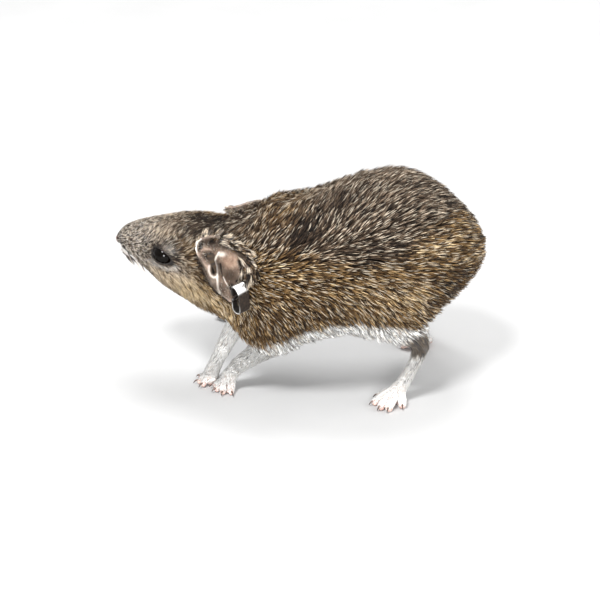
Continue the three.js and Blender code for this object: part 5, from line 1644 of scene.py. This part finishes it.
def ear_hairs(node, e, seed, near):
    g = np.random.default_rng(seed)
    n = unit(e["hollow"])
    root0 = np.array(e["root"])
    P, D, N, L, W, M = [], [], [], [], [], []

    def add(k, r, side, d_along, d_out, d_up, length, width, mk):
        p = ear_point(e, k, r, side)
        tang = unit(rim_at(e, k + 0.004) - rim_at(e, k - 0.004))
        out = unit(rim_at(e, k) - root0)
        up = n * np.where(side > 0.5, -1.0, 1.0)[..., None]
        P.append(p - up * 0.05)
        D.append(unit(tang * d_along[:, None] + out * d_out[:, None] + up * d_up[:, None]))
        N.append(up)
        L.append(length)
        W.append(width)
        M.append(mk)

    def mk(n_, ochre, white, dark):
        return np.stack([np.full(n_, ochre), np.full(n_, 1 - ochre), np.full(n_, white), np.full(n_, dark)], 1)

    # down on the back
    c = 5200 if near else 2600
    k, r = g.random(c), np.sqrt(g.uniform(0.08, 1.0, c))
    add(k, r, np.ones(c), 0.25 * g.normal(size=c), np.ones(c), g.uniform(0.1, 0.4, c), g.uniform(0.35, 0.8, c), np.full(c, 0.09), mk(c, 0.6, 0.05 if near else 0.15, 0.42))
    # thin down in the hollow
    c = 500
    k, r = g.random(c), np.sqrt(g.uniform(0.2, 0.95, c))
    add(k, r, np.zeros(c), 0.4 * g.normal(size=c), np.ones(c), g.uniform(0.2, 0.6, c), g.uniform(0.3, 0.6, c), np.full(c, 0.045), mk(c, 0.4, 0.2, 0.45))
    # edge all round; along the near ear's lower front margin these hairs are dark, as dark fur and painted shade of the
    # crease
    c = 800 if near else 420
    k = g.random(c)
    low = (k > 8.3 / 12) & (k < 11.7 / 12) & near
    add(k, g.uniform(0.95, 1.0, c), g.integers(0, 2, c).astype(float), 0.6 * np.ones(c), g.uniform(0.3, 0.9, c), g.uniform(0.0, 0.3, c), g.uniform(0.4, 0.9, c) * (1.0 if near else 0.6), np.full(c, 0.08), np.where(low[:, None], [0.5, 0.5, 0.0, 1.0], mk(c, 0.6, 0.08, 0.4)))
    # long pale locks over the top and back of the rim
    locks, per = (84, 18) if near else (9, 10)
    kc = g.uniform(2.0, 6.7, locks) / 12 if near else g.uniform(4.6, 6.6, locks) / 12
    for i in range(locks):
        c = per
        k = kc[i] + g.normal(size=c) * 0.006
        r = np.clip(g.uniform(0.88, 1.0) + g.normal(size=c) * 0.02, 0.8, 1.0)
        side = np.full(c, float(g.random() < 0.35))
        al, ou, upw = g.uniform(0.6, 1.0), g.uniform(0.25, 0.9), g.uniform(0.0, 0.3)
        ln = g.uniform(1.6, 2.8) * (1.0 if near else 0.75)
        pale = g.random() < 0.42
        add(k, r, side, al + 0.08 * g.normal(size=c), ou + 0.08 * g.normal(size=c), upw + 0.05 * g.normal(size=c), ln * g.uniform(0.75, 1.1, c), g.uniform(0.10, 0.17, c), mk(c, 0.5, 0.12 if pale else 0.0, 0.2 if pale else 0.9))
    # locks lying over the upper part of the hollow
    for i in range(64 if near else 0):
        c = 12
        k = g.uniform(2.2, 6.9) / 12 + g.normal(size=c) * 0.007
        r = np.clip(g.uniform(0.72, 0.97) + g.normal(size=c) * 0.02, 0.66, 0.99)
        v = g.random()
        add(k, r, np.zeros(c), g.uniform(0.7, 1.0) + 0.1 * g.normal(size=c), g.uniform(0.05, 0.5) + 0.08 * g.normal(size=c), g.uniform(0.08, 0.25) + np.zeros(c), g.uniform(1.1, 2.1) * g.uniform(0.75, 1.1, c), g.uniform(0.09, 0.15, c), mk(c, 0.55, 0.2 if v < 0.35 else 0.0, 0.2 if v < 0.35 else 0.75))
    # ragged dark hairs along the front lower margin: dark fur and painted shade of the crease
    c = 300 if near else 60
    k = g.uniform(9.0, 11.3, c) / 12
    add(k, g.uniform(0.92, 1.0, c), (g.random(c) < 0.5).astype(float), g.uniform(-0.9, 0.1, c), g.uniform(0.5, 1.0, c), g.uniform(-0.1, 0.2, c), g.uniform(0.6, 1.4, c), np.full(c, 0.1), mk(c, 0.5, 0.0, 1.0))
    P, D, N, L, W, M = (np.concatenate(v) for v in (P, D, N, L, W, M))
    kk = len(P)
    mid = P + D * (L * 0.5)[:, None] + N * (L * 0.07)[:, None]
    tip = P + D * L[:, None]
    V, F, uu, vv = blades(P, N, D, mid, tip, W, W * 0.4)
    hc = np.stack(head_coords(P), 1)
    lo, hi = hc.min(0), hc.max(0)
    uv_root = 0.02 + 0.96 * ((hc - lo) / (hi - lo))[:, [0, 2]]
    uv = np.repeat(uv_root, 7, 0) + np.stack([uu - 0.5, vv - 0.5], 1) * PATCH
    rr = g.random((kk, 3))
    o = make(f"coat_{node}", V, F, MAT["coat"], colours={"marks": np.repeat(M, 7, 0), "strand": np.concatenate([uu[:, None], np.repeat(rr, 7, 0)], 1)}, uv=uv)


for _i, (_node, _e) in enumerate(EARS.items()):
    ear_hairs(_node, _e, 70 + _i, _i == 0)


# ---------------------------------------------------------------- ear band
def build_band():
    L = unit([0.04, 0.15, -0.99])
    A = np.array([0.767, -0.638, -0.069])
    A = unit(A - L * (A @ L))
    W = np.cross(L, A)
    A, W = A * 0.99 + W * 0.139, W * 0.99 - A * 0.139
    c = np.array([-10.2, -14.9, 24.35])
    strip, width = 0.42, 2.25
    # once round from the far leg: bent top, outer leg, rounded foot, with the two ends lapped
    q = np.array([[-0.1, -0.92], [-2.0, -0.92], [-2.32, -0.66], [-2.32, 0.02], [-1.40, 0.92], [2.0, 0.92], [2.56, 0.66], [2.77, 0], [2.56, -0.66], [2.0, -0.92], [0.6, -0.92], [0.1, -0.62], [-0.5, -0.55]])
    for _ in range(3):
        a = q[:-1] + (q[1:] - q[:-1]) * 0.2
        b = q[:-1] + (q[1:] - q[:-1]) * 0.8
        q = np.concatenate([q[:1], np.stack([a, b], 1).reshape(-1, 2)[1:-1], q[-1:]])
    s = np.concatenate([[0], np.cumsum(np.linalg.norm(np.diff(q, axis=0), axis=1))])
    sn = np.linspace(0, s[-1], 190)
    q = np.stack([np.interp(sn, s, q[:, 0]), np.interp(sn, s, q[:, 1])], 1)
    d = unit(np.gradient(q, axis=0))
    nrm = np.stack([-d[:, 1], d[:, 0]], 1)
    # section of the strip: rounded bar
    k = 32
    th = np.arange(k) * 2 * math.pi / k
    ex, ey = np.sign(np.cos(th)) * np.abs(np.cos(th)) ** 0.22, np.sign(np.sin(th)) * np.abs(np.sin(th)) ** 0.35
    half_w = width / 2 * (1 - 0.3 * ramp(0.93, 1.0, np.abs(np.linspace(-1, 1, len(q)))))
    V = c + (q[:, 0][:, None] + nrm[:, 0][:, None] * ey[None] * strip / 2)[..., None] * L + (q[:, 1][:, None] + nrm[:, 1][:, None] * ey[None] * strip / 2)[..., None] * A + (ex[None] * half_w[:, None])[..., None] * W
    wob = wave(V.reshape(-1, 3), 2.4, 77) * 0.03
    V = V.reshape(-1, 3) + wob[:, None] * A
    n = len(q)
    i, kk = np.meshgrid(np.arange(n - 1), np.arange(k), indexing="ij")
    k2 = (kk + 1) % k
    Q = np.stack([i * k + kk, (i + 1) * k + kk, (i + 1) * k + k2, i * k + k2], -1).reshape(-1, 4)
    kk = np.arange(1, k - 1)
    F3 = np.concatenate([np.stack([np.zeros(k - 2, int), kk, kk + 1], 1), (n - 1) * k + np.stack([np.zeros(k - 2, int), kk + 1, kk], 1)])
    # painted shade and painted highlight: the bent top stays bright as a highlight, the rest is painted dark as shade,
    # a little less on the strip's side edges and its foot
    low = ramp(0.6, 1.3, q[:, 0])
    t = 1 - ramp(0.15, 0.45, d[:, 1])
    t = np.minimum(t, 1 - 0.5 * low * np.maximum(ramp(0.3, 0.9, -d[:, 1]), q[:, 1] < 0))
    t = t[:, None] * (1 - (0.1 + 0.25 * low)[:, None] * ((np.abs(ex) > 0.97) * (np.abs(ey) < 0.8))[None])
    # painted shadow on the strip's inner face and on the upper part of one leg of the loop, where it goes into the ear
    hollow = np.maximum(0.9 * (ey < -0.5)[None], 0.85 * (ramp(1.2, 0.7, q[:, 0]) * ramp(-0.3, -0.7, q[:, 1]))[:, None])
    o = make("ear_band_strip", V, [Q, F3], MAT["band"], colours={"wear_and_painted_light": np.stack([t.ravel(), hollow.ravel(), np.zeros(n * k), np.ones(n * k)], 1)})
    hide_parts("ear_band")
    return o


build_band()


# ---------------------------------------------------------------- claws and whiskers
def horn_piece(name, curves, mat, sides=8):
    parts, col = [], []
    for c in curves:
        V, F = tube(c, sides)
        parts.append((V, F))
        a = np.repeat(np.linspace(0, 1, len(c)), sides)
        col.append(np.concatenate([a, [0, 1]]))
    V, F = join(parts)
    a = np.concatenate(col)
    o = make(name, V, F, mat, colours={"horn": np.stack([a, a, a, np.ones_like(a)], 1)})
    return o


def claw_curves():
    out = []
    for name, f in FEET.items():
        for root, knuckle, tip in f["digits"]:
            root, knuckle, tip = (np.array(v, float) for v in (root, knuckle, tip))
            d = unit((tip - knuckle) * [1, 1, 0])
            r = f["r"]
            base = tip + d * r * 0.25 + [0, 0, 0.22]
            s = np.linspace(0, 1, 9)
            reach, drop = 1.05, (base[2] - 0.1)
            P = base + d * (s * reach)[:, None] + np.array([0, 0, 1.0]) * (0.22 * np.sin(math.pi * s * 0.8) - drop * s**2.2)[:, None]
            P[:, 2] = np.maximum(P[:, 2], 0.07)
            out.append(np.concatenate([P, (0.2 * (1 - s) ** 0.6 + 0.02)[:, None]], 1))
    return out


claws = horn_piece("claws", claw_curves(), MAT["claw"], 8)


def whisker_curves():
    fine, thick = [], []
    g = np.random.default_rng(9)
    for side in (1, -1):
        for row in range(5):
            for col in range(4):
                s0 = 2.2 + col * 0.85 + row * 0.1
                w0 = 0.75 - row * 0.62
                P = np.array([head_point(s0, side * (1.9 + 0.28 * col), w0)])
                n = unit(gradient(skin, P))[0]
                P = P[0] - n * skin(P)[0] - n * 0.08
                L = (2.6 + 1.3 * col) * g.uniform(0.8, 1.15)
                d = unit(n * 0.9 - HF * (0.55 + 0.16 * col) + HU * (0.28 - 0.17 * row) + g.normal(size=3) * 0.06)
                bend = -HF * 0.9 + HU * (0.1 - 0.1 * row)
                k = np.linspace(0, 1, 14)
                Q = P + d * (k * L)[:, None] + bend * (0.16 * L * k**2)[:, None] - np.array([0, 0, 1.0]) * (0.08 * L * k**2)[:, None]
                fine.append(np.concatenate([Q, (0.045 * (1 - k) ** 0.8 + 0.007)[:, None]], 1))
        for i in range(3):
            # brow hairs
            E, sd = EYES[0 if side > 0 else 1]
            out, along, over = eye_frame(E, sd)
            P = np.array([E + over * 2.6 + along * (-1.2 + 0.9 * i) + out * 1.2])
            n = unit(gradient(skin, P))[0]
            P = P[0] - n * skin(P)[0] - n * 0.08
            k = np.linspace(0, 1, 10)
            L = 2.0 + 0.5 * i
            Q = P + unit(n * 0.7 - HF * 0.9 + HU * 0.3) * (k * L)[:, None] - HF * (0.2 * L * k**2)[:, None]
            fine.append(np.concatenate([Q, (0.04 * (1 - k) ** 0.8 + 0.007)[:, None]], 1))
    return fine


whiskers = horn_piece("whiskers", whisker_curves(), MAT["whisker"], 6)


def bristle_curves():
    """Short thick dark bristles over the whisker pads and lips."""
    out = []
    g = np.random.default_rng(12)
    for side in (1, -1):
        for i in range(44):
            s0, w0 = g.uniform(1.5, 6.0), g.uniform(-2.0, 0.3)
            P = np.array([head_point(s0, side * (1.5 + 0.25 * s0), w0)])
            n = unit(gradient(skin, P))[0]
            P = P[0] - n * skin(P)[0] - n * 0.05
            L = g.uniform(1.2, 2.5)
            d = unit(n * g.uniform(0.25, 0.5) - HF * g.uniform(0.5, 0.9) - HU * g.uniform(0.1, 0.7))
            k = np.linspace(0, 1, 7)
            Q = P + d * (k * L)[:, None] - n * (0.12 * L * k**2)[:, None]
            out.append(np.concatenate([Q, (g.uniform(0.08, 0.125) * (1 - k) ** 0.7 + 0.01)[:, None]], 1))
    return out


bristles = horn_piece("bristles", bristle_curves(), MAT["dark_whisker"], 6)


# ---------------------------------------------------------------- floor, light and camera
def stage():
    R = 3.0
    n = 64
    g = np.linspace(-1, 1, n)
    X, Y = np.meshgrid(np.sign(g) * np.abs(g) ** 2 * R, np.sign(g) * np.abs(g) ** 2 * R, indexing="ij")
    V = np.stack([X, Y, np.zeros_like(X)], -1).reshape(-1, 3)
    i, k = np.meshgrid(np.arange(n - 1), np.arange(n - 1), indexing="ij")
    Q = np.stack([i * n + k, (i + 1) * n + k, (i + 1) * n + k + 1, i * n + k + 1], -1).reshape(-1, 4)
    me = bpy.data.meshes.new("floor")
    me.from_pydata(V.tolist(), [], Q.tolist())
    me.materials.append(MAT["floor"])
    o = bpy.data.objects.new("floor", me)
    bpy.context.collection.objects.link(o)
    o.location.z = -0.0001


stage()


def area(name, loc, size, power, look=(0, 0, 0.017), colour=(1, 1, 1)):
    L = bpy.data.lights.new(name, "AREA")
    L.shape, L.size, L.energy, L.color = "DISK", size, power, colour
    o = bpy.data.objects.new(name, L)
    o.location = loc
    o.rotation_euler = (Vector(look) - Vector(loc)).to_track_quat("-Z", "Y").to_euler()
    bpy.context.collection.objects.link(o)
    return o


area("key", (-0.18, -0.42, 0.62), 0.17, 6.3)
area("glint", (0.02, -0.62, 0.16), 0.17, 4.0)
area("fill", (0.50, -0.12, 0.42), 0.5, 2.4)
area("top", (0.02, 0.17, 0.6), 0.34, 3.0)
world = bpy.data.worlds.new("studio")
world.use_nodes = True
world.node_tree.nodes["Background"].inputs[0].default_value = (1, 1, 1, 1)
world.node_tree.nodes["Background"].inputs[1].default_value = 0.62
bpy.context.scene.world = world
bpy.context.scene.view_settings.view_transform = "Standard"
bpy.context.scene.view_settings.look = "None"

camera = bpy.data.cameras.new("camera")
camera.sensor_width = 36.0
camera.sensor_fit = "HORIZONTAL"
camera.lens = 36.0 * DIST / (600 / SCALE)
camera.clip_start = 0.01
camera.clip_end = 20
cam_obj = bpy.data.objects.new("camera", camera)
bpy.context.collection.objects.link(cam_obj)
cam_obj.location = Vector(((CAM + SHIFT) * 0.001).tolist())
cam_obj.rotation_euler = Vector((-BACK).tolist()).to_track_quat("-Z", "Y").to_euler()
bpy.context.scene.camera = cam_obj
